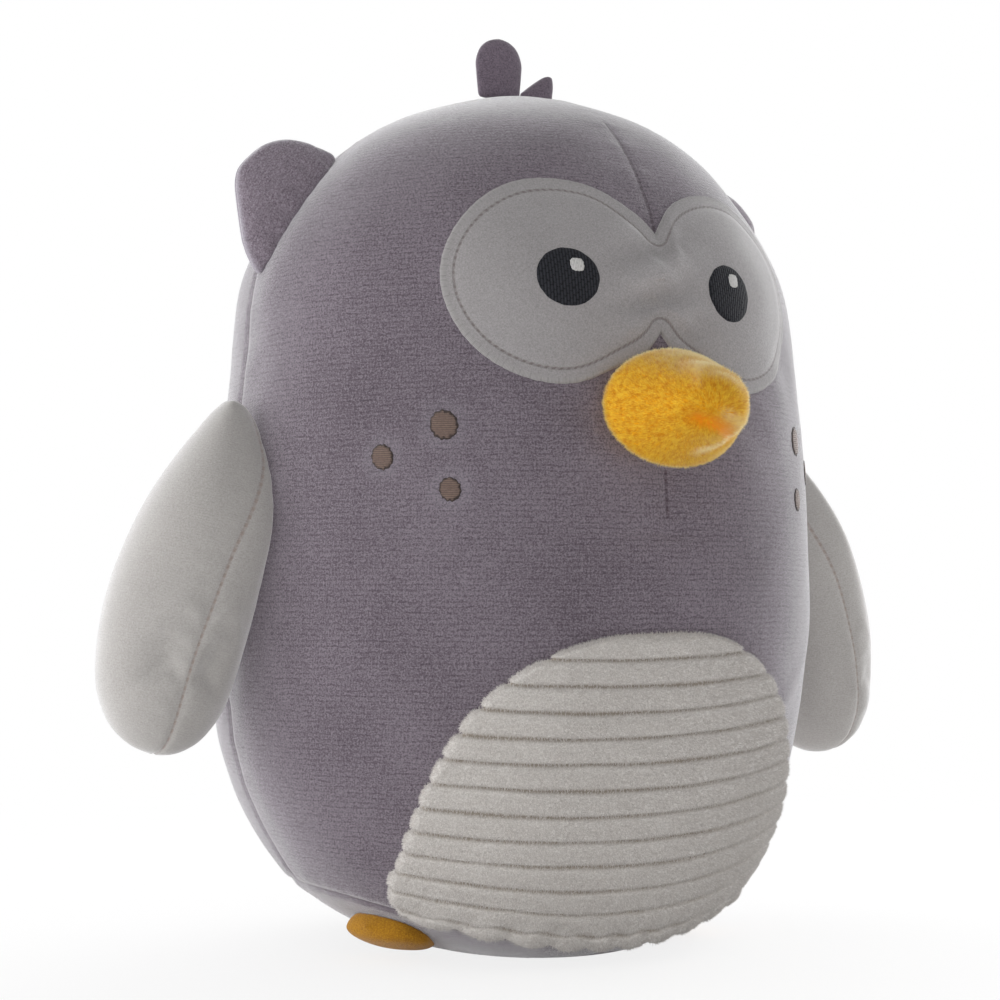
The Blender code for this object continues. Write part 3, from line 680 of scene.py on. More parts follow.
# %% [markdown]
# ## Limbs
#
# Wings, ears, beak and feet are all sewn from two pieces and stuffed. Each is a ball laid along its
# own three directions: along it, across it and out of its upper side. The seam runs round the edge,
# where the across direction points.
# %% Lay a ball as a limb
def limb_points(angle, share, origin, along, across, out, length, width, rise, drop, table, rise_table=None,
                twist=None):
    side = np.cos(angle) * width / 2 * table(share)
    lift = np.sin(angle) * np.where(np.sin(angle) > 0, rise * (rise_table or table)(share), drop * table(share))
    if twist is not None:
        side, lift = side * np.cos(twist) - lift * np.sin(twist), side * np.sin(twist) + lift * np.cos(twist)
    return origin + np.outer(length * share, along) + np.outer(side, across) + np.outer(lift, out)


def limb_seams(piece, angle, level, share, length, width, table):
    """Maps the cloth of a limb and marks its seam. Returns the points on the seam."""
    poles = ((level == 0) | (level == 1)).astype(float)
    radius = np.maximum(width / 2 * table(share), 0.002)
    off = np.minimum(np.abs(angle), math.pi - np.abs(angle))
    keep(piece, "seam", np.minimum(off * radius, 0.03) * mm)
    keep(piece, "along", share * length * mm)
    fabric_map(piece, angle, np.full(len(angle), width / 2), share * length, poles)
    return off < 0.01


def keep_off_body(points, gap):
    """Moves points sideways until they are clear of the body."""
    share = np.interp(points[:, 2], profile_z, profile_share)
    reach = (points[:, 1] - spine_y(points[:, 2])) / (share * body_depth / 2)
    clear = share * body_width / 2 * np.sqrt(np.clip(1 - reach ** 2, 0, 1)) + gap
    points = points.copy()
    beside = np.abs(reach) < 1
    points[:, 0] = np.where(beside, np.sign(points[:, 0]) * np.maximum(np.abs(points[:, 0]), clear), points[:, 0])
    return points


# %% Make the wings
wing_table = smooth_table(((0.0, 0.0), (0.01, 0.09), (0.05, 0.22), (0.165, 0.49), (0.30, 0.745), (0.44, 0.91),
                           (0.58, 1.0), (0.72, 0.985), (0.84, 0.89), (0.92, 0.70), (0.96, 0.52), (0.99, 0.27),
                           (1.0, 0.0)))
wing_twist = smooth_table(((0.0, 0.75), (0.15, 0.55), (0.26, 0.37), (0.40, 0.22), (0.55, 0.14), (0.70, 0.07),
                           (0.85, 0.05), (1.0, 0.10)))
wing_length, wing_width, wing_rise, wing_drop = 0.0980, 0.0445, 0.0215, 0.0175
wings = []
for side, way in (("right", -1), ("left", 1)):
    lean, turn = math.radians(12.5), math.radians(-10.0)
    sideways = np.array([way * math.cos(turn), -math.sin(turn), 0.0])
    wing_along = sideways * math.sin(lean) - np.array([0, 0, math.cos(lean)])
    wing_across = np.array([way * math.sin(turn), math.cos(turn), 0.0])
    wing_out = sideways * math.cos(lean) + np.array([0, 0, math.sin(lean)])
    z = body_height * (0.60976 - (0.028 if way > 0 else 0))
    hinge = np.array([way * (half_width_at(z) + 0.0061), spine_y(z) - 0.005, z])
    wing, angle, level = ball("wing_plush_" + side, 48, 40)
    share = (1 - np.cos(math.pi * level)) / 2
    twist = wing_twist(share)
    points = limb_points(angle, share, hinge - wing_along * 0.0032, wing_along, wing_across, wing_out,
                         wing_length, wing_width, wing_rise, wing_drop, wing_table, twist=twist)
    faces_front, faces_out = np.clip(-np.cos(angle + twist), 0, 1), np.sin(angle + twist)
    front = faces_front * hill(share, 0.24, 0.27)
    points -= np.outer(0.0062 * front, wing_across) + np.outer(0.0110 * front * np.clip(-faces_out, 0, 1), wing_out)
    if way > 0:
        flatter = 0.0032 + 0.0026 * hill(share, 0.28, 0.18) + 0.002 * ease(share, 0.6, 0.9)
        points -= np.outer(flatter * np.clip(faces_out, 0, 1) * wing_table(share), wing_out)
    lay(wing, keep_off_body(points, 0.0008))
    face_out(wing)
    sewn = limb_seams(wing, angle, level, share, 0.0992, wing_width, wing_table)
    stuff(wing, sewn | (share < 0.06), 0.0016)
    subdivide(wing, 2)
    seam, along = kept(wing, "seam"), kept(wing, "along")
    creases = 0.0008 * ripple(along / 4.4 + 0.9 * np.sin(seam / 4.0)) * hill(seam, 6, 6.0)
    creases *= ease(along, 42, 60) * ease(seam, 0.5, 3.0)
    dents = -0.0015 * hill(seam, 8, 5.0) * ease(ripple(along / 11.0 + 1.4), 0.1, 0.9) * ease(along, 35, 60)
    puckers = 0.00018 * ripple(along / 2.4) * hill(seam, 0, 6.0) * ease(seam, 0.2, 1.6)
    dented = (dents + creases) * (1.1 if way < 0 else 0.35) * (1 - ease(along, 84, 95))
    push(wing, dented + puckers - 0.0004 * hill(seam, 0, 1.1))
    lay(wing, keep_off_body(points_of(wing), 0.0004))
    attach(wing, "wing_" + side)
    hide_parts(f"wing_{side}_outer", f"wing_{side}_inner", f"wing_{side}_stuffing")
    wings.append(wing)


# %% [markdown]
# ## Ears and beak
#
# These stand on the body. Their first rows run down to the body's surface, tuck in at the sewn
# root, and close just inside the body.
# %% Lay a ball as a stump on the body
def stump(name, segments, rings, origin, along, across, out, length, width, rise, drop, table):
    piece, angle, level = ball(name, segments, rings)
    root_level, root_tuck = 0.2, 0.05
    share = np.sin(math.pi / 2 * np.clip((level - root_level) / (1 - root_level), 0, 1))
    inside = np.clip(1 - level / root_level, 0, 1)
    tuck = 1 - root_tuck * hill(share, 0, 0.06) - 0.5 * inside ** 2
    tuck = np.where(level == 0, 0.0, tuck)
    points = limb_points(angle, share, origin, along, across, out, length, width, rise, drop, table)
    middle = origin + np.outer(length * share, along)
    points = middle + (points - middle) * tuck[:, None]
    seat = seat_run(points - np.outer(length * share, along), along)
    points = points + np.outer(seat * (1 - share) ** 2 - 0.004 * inside, along)
    lay(piece, points)
    face_out(piece)
    sewn = limb_seams(piece, angle, level, share, length, width, table)
    keep(piece, "share", share)
    return piece, sewn | (level <= root_level + 1 / rings)


# %% Make the ears
ear_table = smooth_table(((0.0, 1.0), (0.12, 0.94), (0.25, 0.90), (0.5, 0.80), (0.75, 0.63), (0.92, 0.41),
                          (0.98, 0.22), (1.0, 0.0)))
tilt, ear_length, ear_width = math.radians(42.0), 0.0178, 0.0430
ears = []
for side, way in (("right", -1), ("left", 1)):
    root = skin(np.array([way * math.pi / 2]), run_at(np.array([body_height * 0.85772])))[0]
    ear_along = np.array([way * math.cos(tilt), 0, math.sin(tilt)])
    ear_across = np.array([-way * math.sin(tilt), 0, math.cos(tilt)])
    ear_middle = root - ear_across * 0.0034
    ear, sewn = stump("ear_plush_" + side, 40, 30, ear_middle, ear_along, ear_across, np.array([0.0, -1.0, 0.0]),
                      ear_length, ear_width, 0.0070, 0.0058, ear_table)
    co, share = points_of(ear), kept(ear, "share")
    lower = ease(-(co - ear_middle) @ ear_across, 0.002, 0.019)
    lay(ear, co - np.outer(ear_length * share * 0.55 * lower, ear_along))
    stuff(ear, sewn, 0.0010)
    subdivide(ear, 1)
    seam, along, share = kept(ear, "seam"), kept(ear, "along"), kept(ear, "share")
    co = points_of(ear)
    gathers = 0.0005 * ripple(co @ ear_across * 900) * hill(share, 0, 0.3)
    push(ear, gathers - 0.0003 * hill(seam, 0, 1.0))
    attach(ear, "trunk")
    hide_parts(f"ear_{side}_front", f"ear_{side}_back", f"ear_{side}_stuffing")
    ears.append(ear)

# %% Make the beak
beak_table = smooth_table(((0.0, 0.76), (0.16, 0.92), (0.35, 0.81), (0.6, 0.62), (0.8, 0.48), (0.93, 0.34),
                           (0.985, 0.18), (1.0, 0.0)))
beak_z = body_height * 0.60407
root = skin(np.array([0.0]), run_at(np.array([beak_z])))[0]
beak, sewn = stump("beak_plush", 64, 40, root, np.array([0.0, -1.0, 0.0]), np.array([1.0, 0.0, 0.0]),
                   np.array([0.0, 0.0, 1.0]), 0.0256, 0.0436, 0.0161, 0.0160, beak_table)
stuff(beak, sewn, 0.0010)
subdivide(beak, 2)
share = kept(beak, "share")
co = points_of(beak)
side_way, up_way = co[:, 0], co[:, 2] - beak_z
near_tip = ease(share, 0.28, 0.60)
mouth_line = up_way + 0.0053 + 0.25 * side_way
mouth = near_tip * hill(mouth_line, 0, 0.0015) * (1 - ease(np.abs(side_way - 0.0006), 0.0050, 0.0105))
from_bulb = np.hypot(side_way - 0.0005, up_way - 0.0022)
round_bulb = np.arctan2(up_way - 0.0022, side_way - 0.0005)
fold = near_tip * hill(from_bulb, 0.0070, 0.0011) * hill(round_bulb, 1.4, 1.1)
valley = near_tip * hill(from_bulb, 0.0088, 0.0012) * hill(round_bulb, 1.7, 0.9)
bulb = near_tip * hill(side_way, 0.0005, 0.0075) * hill(up_way, 0.0020, 0.0060)
lip_line = (up_way + 0.0111 - 0.10 * side_way - 45 * side_way ** 2) / np.hypot(1, 0.10 + 90 * side_way)
lip = near_tip * hill(lip_line, 0, 0.0009) * ease(side_way, -0.0025, 0.0015)
below_lip = near_tip * np.exp(-((lip_line + 0.0019) / 0.0013) ** 2) * ease(side_way, -0.0025, 0.0015)
co[:, 1] += 0.0024 * mouth - 0.0021 * fold + 0.0015 * valley - 0.0012 * bulb - 0.0014 * lip + 0.0014 * below_lip
lay(beak, co)
# Painted shade: the mouth crease, the valley and the hollow below the lip are kept to be coloured deeper.
keep(beak, "depth", 0.8 * mouth + 0.5 * valley + 0.4 * below_lip)
# Painted highlight: the lip, the fold, the strip above the mouth and the beak's outer sides are kept to be coloured
# paler.
outer_side = hill(side_way, 0.0125, 0.0030) * ease(up_way, -0.0070, -0.0010)
outer_side *= 1 - ease(up_way, 0.0060, 0.0120)
above_mouth = near_tip * hill(mouth_line, 0.0022, 0.0011)
above_mouth *= 1 - ease(np.abs(side_way - 0.0045), 0.0030, 0.0075)
keep(beak, "painted_highlight", np.clip(0.95 * lip + 0.95 * fold + 0.40 * above_mouth + 0.6 * outer_side * near_tip, 0, 1))
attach(beak, "trunk")
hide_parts("beak_upper", "beak_lower", "beak_stuffing")


# %% [markdown]
# ## Feet and crest
#
# A foot is a small round pad sewn under the base, and the crest is two flat lobes of dark fabric
# that stand on the crown.
# %% Make the feet
foot_table = smooth_table(((0.0, 0.0), (0.12, 0.6), (0.4, 0.93), (0.6, 1.0), (0.85, 0.75), (1.0, 0.0)))
foot_rise = smooth_table(((0.0, 0.0), (0.12, 0.2), (0.3, 0.42), (0.5, 0.66), (0.7, 0.9), (0.87, 0.75), (1.0, 0.0)))
feet = []
for side, way in (("right", -1), ("left", 1)):
    turn, tilt = math.radians(70.0), math.radians(18.0)
    forward = np.array([way * math.sin(turn), -math.cos(turn), 0.0])
    foot_along = forward * math.cos(tilt) + np.array([0, 0, math.sin(tilt)])
    foot_across = np.cross([0, 0, 1], forward)
    root = forward * (body_width / 2 * 0.4663) + np.array([0, 0, 0.0032])
    foot, angle, level = ball("foot_plush_" + side, 40, 28)
    share = (1 - np.cos(math.pi * level)) / 2
    points = limb_points(angle, share, root, foot_along, foot_across, np.cross(foot_along, foot_across),
                         0.0222, 0.0274, 0.0067, 0.0038, foot_table, foot_rise)
    lay(foot, points)
    face_out(foot)
    sewn = limb_seams(foot, angle, level, share, 0.0225, 0.028, foot_table)
    stuff(foot, sewn | (share < 0.3), 0.0007)
    subdivide(foot, 1)
    co = points_of(foot)
    for i, p in enumerate(co):
        hit = body_tree.ray_cast(Vector((p[0], p[1], -0.01)), Vector((0, 0, 1)), 0.1)[0]
        co[i, 2] = max(0.0003, min(p[2], hit[2] - 0.0003) if hit is not None else p[2])
    lay(foot, co)
    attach(foot, "trunk")
    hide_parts(f"foot_{side}_top", f"foot_{side}_sole", f"foot_{side}_stuffing")
    feet.append(foot)


# %% Make the crest
tall_table = smooth_table(((0.0, 0.92), (0.3, 0.98), (0.55, 1.0), (0.8, 0.80), (0.94, 0.45), (1.0, 0.0)))
short_table = smooth_table(((0.0, 1.0), (0.4, 0.74), (0.75, 0.45), (0.93, 0.24), (1.0, 0.0)))
thin, root_level = 0.0021, 0.15
crest = []
for name, offset, length, width, lean, table in (
    ("crest_tall", -0.0058, 0.0152, 0.0150, 0.0, tall_table),
    ("crest_short", 0.0068, 0.0062, 0.0106, 0.0042, short_table),
):
    lobe, angle, level = ball(name + "_felt", 40, 32)
    hinge = np.array([offset, 0.0, body_height + 0.0005 + thin])
    share = np.sin(math.pi / 2 * np.clip((level - root_level) / (1 - root_level), 0, 1))
    turn = math.pi / 2 * np.clip(1 - level / root_level, 0, 1)
    half = width / 2 * table(share) - thin * (1 - np.cos(turn)) / 2
    half = np.where((level == 0) | (level == 1), 0.0, half)
    out = thin * np.cos(turn) * np.minimum(1.0, table(share) / table(0)) ** 0.7
    x = lean * share + half * np.cos(angle)
    y = -out * np.sign(np.sin(angle)) * np.abs(np.sin(angle)) ** 0.8
    lay(lobe, hinge + np.stack([x, y, length * share - (thin + 0.0006) * np.sin(turn)], -1))
    face_out(lobe)
    limb_seams(lobe, angle, level, share, length, width, table)
    subdivide(lobe, 1)
    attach(lobe, name)
    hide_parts(name)
    crest.append(lobe)


# %% [markdown]
# ## The longer pile of the beak and the belly
#
# The beak is sewn from a fabric with a longer pile, which shows as separate tufts that spread out
# from the mouth. The belly's fleece has tufts too, which lean out over the grooves between the ribs. Short
# three-sided spikes are set all over both: each is three faces only.
# %% Set the tufts
def scatter(piece, count, seed, names):
    """Random places spread evenly over a piece, with their normals and the numbers kept there."""
    piece.data.calc_loop_triangles()
    corners = read(piece.data.loop_triangles, "vertices", 3, int)
    co, normals = points_of(piece), normals_of(piece)
    a, b, c = (co[corners[:, i]] for i in range(3))
    area = np.linalg.norm(np.cross(b - a, c - a), axis=1)
    rng = np.random.default_rng(seed)
    pick = rng.choice(len(area), count, p=area / area.sum())
    w = rng.dirichlet((1, 1, 1), count)
    mix = lambda values: sum(values[corners[pick, i]] * w[:, i:i + 1] for i in range(3))
    ways = mix(normals)
    numbers = {name: mix(kept(piece, name)[:, None])[:, 0] for name in names}
    return mix(co), unit(ways), numbers, rng


def tufts(name, piece, count, length, width, flow, stay, names, seed, spread, upright):
    """Three-sided spikes that lean along a flow. Each has its own cell in a map for baking.

    The spikes' normals lean towards the fabric's own, so that light falls on them as on the whole nap.
    """
    places, ways, numbers, rng = scatter(piece, count, seed, names)
    good = stay(places, numbers)
    places, ways, numbers = places[good], ways[good], {key: values[good] for key, values in numbers.items()}
    count = len(places)
    lean = flow(places, ways, numbers) + rng.normal(0, spread, (count, 3))
    lean -= ways * (lean * ways).sum(1, keepdims=True)
    strength = np.linalg.norm(lean, axis=1, keepdims=True)
    lean /= np.maximum(strength, 1e-6)
    strength = np.clip(strength, 0.15, 1.0) * math.sqrt(1 - upright ** 2)
    size = length * rng.uniform(0.6, 1.2, (count, 1))
    blade = ways * upright + lean * strength
    side = unit(np.cross(blade, rng.normal(0, 1, (count, 3))))
    other = np.cross(blade, side) / np.linalg.norm(blade, axis=1, keepdims=True)
    round_ways = [side * math.cos(k * 2 * math.pi / 3) + other * math.sin(k * 2 * math.pi / 3) for k in range(3)]
    base, tip = places - ways * 0.0002, places + blade * size
    spike = np.stack([base + way * width / 2 for way in round_ways] + [tip], 1)
    first = np.arange(count)[:, None] * 4
    faces = np.stack([first + np.array([k, (k + 1) % 3, 3]) for k in range(3)], 1)
    mesh = bpy.data.meshes.new(name)
    mesh.from_pydata(spike.reshape(-1, 3), [], faces.reshape(-1, 3))
    tuft = bpy.data.objects.new(name, mesh)
    bpy.context.scene.collection.objects.link(tuft)
    mesh.shade_smooth()
    keep(tuft, "tip", np.tile((0.0, 0.0, 0.0, 1.0), count))
    keep(tuft, "tone", np.repeat(rng.uniform(0, 1, count), 4))
    for key, values in numbers.items():
        keep(tuft, key, np.repeat(values, 4))
    cells = int(np.ceil(np.sqrt(count)))
    cell = np.stack([np.arange(count) % cells, np.arange(count) // cells], -1)
    inner = np.array([[((k + 0.1) / 3, 0.05), ((k + 0.9) / 3, 0.05), ((k + 0.5) / 3, 0.95)] for k in range(3)])
    write_map(tuft, "OFBake", (cell[:, None, None] + inner[None]) / cells)
    soft = unit(np.stack([ways + way * 0.75 for way in round_ways] + [ways + blade * 0.3], 1))
    mesh.normals_split_custom_set_from_vertices(soft.reshape(-1, 3))
    print(name, len(mesh.polygons), "faces")
    return tuft


def beak_flow(places, ways, numbers):
    """The pile spreads outwards from the mouth, and small bunches of it turn aside."""
    swirl = np.sin(places[:, [1, 2, 0]] * 2300 + 1.5 * np.sin(places[:, [2, 0, 1]] * 900))
    outwards = places - np.array((-0.002, 0.0, beak_z - 0.003))
    outwards[:, 1] = -0.001
    return unit(outwards) + 0.20 * swirl


def belly_flow(places, ways, numbers):
    return np.outer(0.9 * numbers["lean"] - 0.1, (0.0, 0.0, 1.0))


def belly_stay(places, numbers):
    """No tufts in the grooves, and beside the grooves they stand in small bunches, like a comb's teeth."""
    along_rib = np.arctan2(places[:, 0], -places[:, 1]) * 85.0
    tooth = np.sin(along_rib * 2 * math.pi / 0.85 + 2.0 * np.sin(along_rib * 0.9) + places[:, 2] * 900)
    return (numbers["cover"] > 0.12) & (numbers["rib"] > np.where(tooth > 0.0, 0.25, 0.75))


def beak_stay(places, numbers):
    return inside_share(places) > 1.0


beak_pile = tufts("beak_pile", beak, 52000, 0.0021, 0.00025, beak_flow, beak_stay, ("depth", "painted_highlight"), 7, 0.26, 0.45)
belly_piles = []
for part in (0, 1):
    pile_part = tufts(f"belly_pile_{part}", belly, 66000, 0.0011, 0.00024, belly_flow, belly_stay,
                      ("rib", "lean", "cover"), 20 + part, 0.30, 0.7)
    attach(pile_part, "trunk")
    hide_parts("belly_patch")
    belly_piles.append(pile_part)
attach(beak_pile, "trunk")
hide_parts("beak_upper")


# %% [markdown]
# ## Fabrics
#
# All the fabrics share two node groups. One is the pile: short fibres, knitted courses and wales,
# and the cloudy light and dark where a hand has brushed the nap. The other is the seam: a narrow
# groove with stitches in it. Each material mixes these with its own colours.
# %% Values that change over a surface
class Value:
    """What a node puts out. Each sum or product with it adds one maths node."""

    def __init__(self, tree, socket):
        self.tree, self.socket = tree, socket

    def maths(self, operation, *others):
        return made(self.tree, "ShaderNodeMath", 0, dict(enumerate((self, *others))), operation=operation)

    def __add__(self, other):
        return self.maths("ADD", other)

    def __sub__(self, other):
        return self.maths("SUBTRACT", other)

    def __rsub__(self, other):
        return made(self.tree, "ShaderNodeMath", 0, {0: other, 1: self}, operation="SUBTRACT")

    def __mul__(self, other):
        return self.maths("MULTIPLY", other)

    def __truediv__(self, other):
        return self.maths("DIVIDE", other)

    def __pow__(self, other):
        return self.maths("POWER", other)


def add(tree, kind, inputs=None, **settings):
    """Adds a node. Inputs are numbers to set or values to link."""
    node = tree.nodes.new(kind)
    for key, value in settings.items():
        setattr(node, key, value)
    for key, value in (inputs or {}).items():
        if isinstance(value, Value):
            put(value, node, key)
        else:
            node.inputs[key].default_value = value
    return node


def made(tree, kind, output, inputs=None, **settings):
    """Adds a node and gives what it puts out."""
    return Value(tree, add(tree, kind, inputs, **settings).outputs[output])


def put(value, node, name):
    value.tree.links.new(value.socket, node.inputs[name])


# %% Small helpers for nodes
def attribute(tree, name):
    """A number that was kept at every point of the piece."""
    return made(tree, "ShaderNodeAttribute", "Fac", attribute_name=name)


def cloth_map(tree):
    return made(tree, "ShaderNodeUVMap", "UV", uv_map="fabric")


def scaled(vector, *factors):
    return made(vector.tree, "ShaderNodeVectorMath", 0, {0: vector, 1: factors}, operation="MULTIPLY")


def millimetres(tree):
    """The place on the piece, in millimetres."""
    return scaled(made(tree, "ShaderNodeTexCoord", "Object"), mm, mm, mm)


def parts(vector):
    node = add(vector.tree, "ShaderNodeSeparateXYZ", {"Vector": vector})
    return [Value(vector.tree, socket) for socket in node.outputs]


def facing(tree, direction):
    """How far the surface faces a direction."""
    normal = made(tree, "ShaderNodeNewGeometry", "Normal")
    return made(tree, "ShaderNodeVectorMath", "Value", {0: normal, 1: direction}, operation="DOT_PRODUCT")


def edge_on(tree):
    return made(tree, "ShaderNodeLayerWeight", "Facing", {"Blend": 0.5})


def clamp(value):
    return made(value.tree, "ShaderNodeClamp", 0, {"Value": value})


def smooth_step(value, low, high, to_low=0.0, to_high=1.0):
    limits = {"From Min": low, "From Max": high, "To Min": to_low, "To Max": to_high}
    return made(value.tree, "ShaderNodeMapRange", "Result", {"Value": value, **limits}, interpolation_type="SMOOTHSTEP")


def noise(vector, scale, detail=2.0, roughness=0.5):
    return made(vector.tree, "ShaderNodeTexNoise", "Fac",
                {"Vector": vector, "Scale": scale, "Detail": detail, "Roughness": roughness})


def mix(share, first, second, **settings):
    """One colour turning into another as the share grows."""
    first, second = ((*colour, 1) if isinstance(colour, tuple) else colour for colour in (first, second))
    tree = next(value.tree for value in (share, first, second) if isinstance(value, Value))
    return made(tree, "ShaderNodeMix", 2, {0: share, 6: first, 7: second}, data_type="RGBA", **settings)


def new_group(name, inputs, outputs):
    tree = bpy.data.node_groups.new(name, "ShaderNodeTree")
    for title, value in inputs.items():
        kind = "NodeSocketVector" if value is None else "NodeSocketFloat"
        socket = tree.interface.new_socket(title, in_out="INPUT", socket_type=kind)
        if value is not None:
            socket.default_value = value
    for title in outputs:
        tree.interface.new_socket(title, in_out="OUTPUT", socket_type="NodeSocketFloat")
    given = tree.nodes.new("NodeGroupInput").outputs
    return tree, {title: Value(tree, given[title]) for title in inputs}, tree.nodes.new("NodeGroupOutput")


# %% The pile group
pile, given, result = new_group("Short pile", {
    "Place": None, "Cloth": None, "Fibre": 1.0, "Course period": 0.78, "Courses": 0.5, "Wales": 0.25, "Cloud": 0.5,
    "Dashes": 1.0,
}, ("Shade", "Height"))
fine = noise(given["Place"], 2.2, 3.0, 0.8)
dashes = noise(scaled(given["Cloth"], 0.7, 3.0, 1.0), 1.0, 3.0, 0.7)
clump = noise(given["Place"], 0.30, 3.0, 0.6)
cloud = noise(given["Place"], 0.030, 3.0, 0.6)
wander = noise(given["Place"], 0.20, 2.0) * 1.4
across, up, _ = parts(given["Cloth"])
lines = []
for way, factor, stretch in ((up, 1.0, (0.20, 0.8, 1.0)), (across, 0.66, (1.0, 0.4, 1.0))):
    phase = (way + wander) / (given["Course period"] * factor)
    wave = 0.25 - smooth_step((phase * (2 * math.pi)).maths("SINE"), 0.0, 1.0)
    patchy = noise(scaled(given["Cloth"], *stretch), 1.0, 2.0)
    lines.append(wave * smooth_step(patchy, 0.32, 0.68, 0.1, 1.6))
courses, wales = lines
shade = ((fine - 0.5) * 3.3 + (dashes - 0.5) * (given["Dashes"] * 1.2)) * given["Fibre"]
shade = shade + (clump - 0.5) * 0.10 + (cloud - 0.5) * (given["Cloud"] * 3.0)
shade = shade + courses * (given["Courses"] * 0.32) + wales * (given["Wales"] * 0.32)
put(clamp(shade + 0.5), result, "Shade")
raised = (fine + dashes * given["Dashes"]) * given["Fibre"] + clump * 0.6
put(raised + courses * (given["Courses"] * 0.25) + wales * (given["Wales"] * 0.25), result, "Height")

# %% The seam group
sewing, given, result = new_group("Sewn seam", {"Distance": 20.0, "Along": 0.0, "Width": 0.7, "Stitch": 2.4},
                                  ("Line", "Stitch"))
line = smooth_step(given["Distance"].maths("ABSOLUTE"), given["Width"] * 0.25, given["Width"], 1.0, 0.0)
beat = (given["Along"] / given["Stitch"] * (2 * math.pi)).maths("SINE")
put(line, result, "Line")
put(line * smooth_step(beat, -0.2, 0.5), result, "Stitch")


# %% Build a fabric
def plain(name, roughness, sheen, specular=0.25, sheen_roughness=0.4):
    material = bpy.data.materials.new(name)
    material.use_nodes = True
    shader = material.node_tree.nodes["Principled BSDF"]
    shader.inputs["Roughness"].default_value = roughness
    shader.inputs["Specular IOR Level"].default_value = specular
    shader.inputs["Sheen Weight"].default_value = sheen
    shader.inputs["Sheen Roughness"].default_value = sheen_roughness
    return material, material.node_tree, shader


def finish_material(shader, colour, height=None, strength=0.6, depth=0.0006):
    put(colour, shader, "Base Color")
    if height:
        bump = {"Strength": strength, "Distance": depth, "Height": height}
        put(made(colour.tree, "ShaderNodeBump", "Normal", bump), shader, "Normal")


def fabric(name, dark, light, fibre=1.0, period=0.78, courses=0.0, wales=0.0, cloud=0.3, dashes=1.0, bump=0.35,
           seam_tint=None, seam_width=0.8, sheen=0.6, sheen_roughness=0.35, rim=0.0, painted_rim_power=2.8):
    """A pile fabric. With a seam tint its seams show, and with a rim it gets a painted rim light: paler where it is
    seen edge-on.
    """
    material, tree, shader = plain(name, 0.9, sheen, 0.2, sheen_roughness)
    nap = add(tree, "ShaderNodeGroup", {
        "Place": millimetres(tree), "Cloth": cloth_map(tree), "Fibre": fibre, "Course period": period,
        "Courses": courses, "Wales": wales, "Cloud": cloud, "Dashes": dashes,
    }, node_tree=pile)
    shade, height = (Value(tree, nap.outputs[key]) for key in ("Shade", "Height"))
    colour = mix(shade, dark, light)
    if seam_tint:
        sewn = {"Distance": attribute(tree, "seam"), "Along": attribute(tree, "along"), "Width": seam_width}
        sewn = add(tree, "ShaderNodeGroup", sewn, node_tree=sewing)
        line, stitch = (Value(tree, sewn.outputs[key]) for key in ("Line", "Stitch"))
        tint = mix((line + stitch) * 0.5, (1, 1, 1), seam_tint)
        colour = mix(1.0, colour, tint, blend_type="MULTIPLY")
        height = height - line
    # Painted rim light: the colour turns paler where the surface is seen edge-on, and less so where it faces down.
    if rim:
        faces_up = facing(tree, (0, 0, 1))
        pale = edge_on(tree) ** painted_rim_power * smooth_step(faces_up, -0.85, -0.35, rim * 0.2, rim) * (shade + 0.5)
        painted_rim_colour = tuple(0.45 * own + 0.55 * white for own, white in zip(light, (0.9, 0.9, 0.92)))
        colour = mix(pale, colour, painted_rim_colour)
    finish_material(shader, colour, height, bump)
    return material


def recolour(material, change):
    """Changes the colour that a material has."""
    tree = material.node_tree
    shader = tree.nodes["Principled BSDF"]
    old = Value(tree, shader.inputs["Base Color"].links[0].from_socket)
    put(change(tree, old), shader, "Base Color")


def wear(material, *pieces):
    for piece in pieces:
        piece.data.materials.clear()
        piece.data.materials.append(material)


# %% Plush and felt
# Nap seen edge-on gets a painted rim light: its colour is made paler there, and less so where it faces down.
grey = fabric("Grey plush", (0.073, 0.057, 0.071), (0.215, 0.186, 0.216), period=1.45, courses=0.60, wales=0.3,
              cloud=0.2, seam_tint=(0.50, 0.44, 0.46), sheen=1.0, sheen_roughness=0.28, rim=0.85, painted_rim_power=3.2)
recolour(grey, lambda tree, colour: mix(attribute(tree, "parted") * 0.12, colour, (0.36, 0.34, 0.38)))
wear(grey, body)
# The ears wear a copy of the grey plush painted lighter, as painted light on their front.
ear_grey_painted_lighter = fabric("Ear plush painted lighter", (0.112, 0.088, 0.109), (0.310, 0.270, 0.312), period=1.45, courses=0.3, wales=0.1,
                  cloud=0.22, seam_tint=(0.80, 0.75, 0.77), seam_width=0.7, sheen=1.0, sheen_roughness=0.28, rim=0.7)
# Painted rim light: the ear is paler towards the seam round its edge.
recolour(ear_grey_painted_lighter, lambda tree, colour: mix(smooth_step(attribute(tree, "seam"), 0.0, 9.0, 0.55, 0.0), colour,
                                            (0.42, 0.40, 0.45)))
wear(ear_grey_painted_lighter, *ears)
white = fabric("White plush", (0.280, 0.267, 0.256), (0.425, 0.407, 0.391), fibre=0.6, dashes=0.8, period=0.70,
               courses=0.3, wales=0.1, cloud=0.15, seam_tint=(0.80, 0.70, 0.67), seam_width=0.6, bump=0.22,
               sheen=0.8, sheen_roughness=0.28, rim=0.8)
wear(white, *wings)
patch_white = fabric("White patch plush", (0.196, 0.186, 0.188), (0.338, 0.322, 0.324), fibre=0.7, dashes=0.15,
                     cloud=0.12, seam_tint=(0.56, 0.51, 0.50), seam_width=0.55, bump=0.25, rim=0.5)
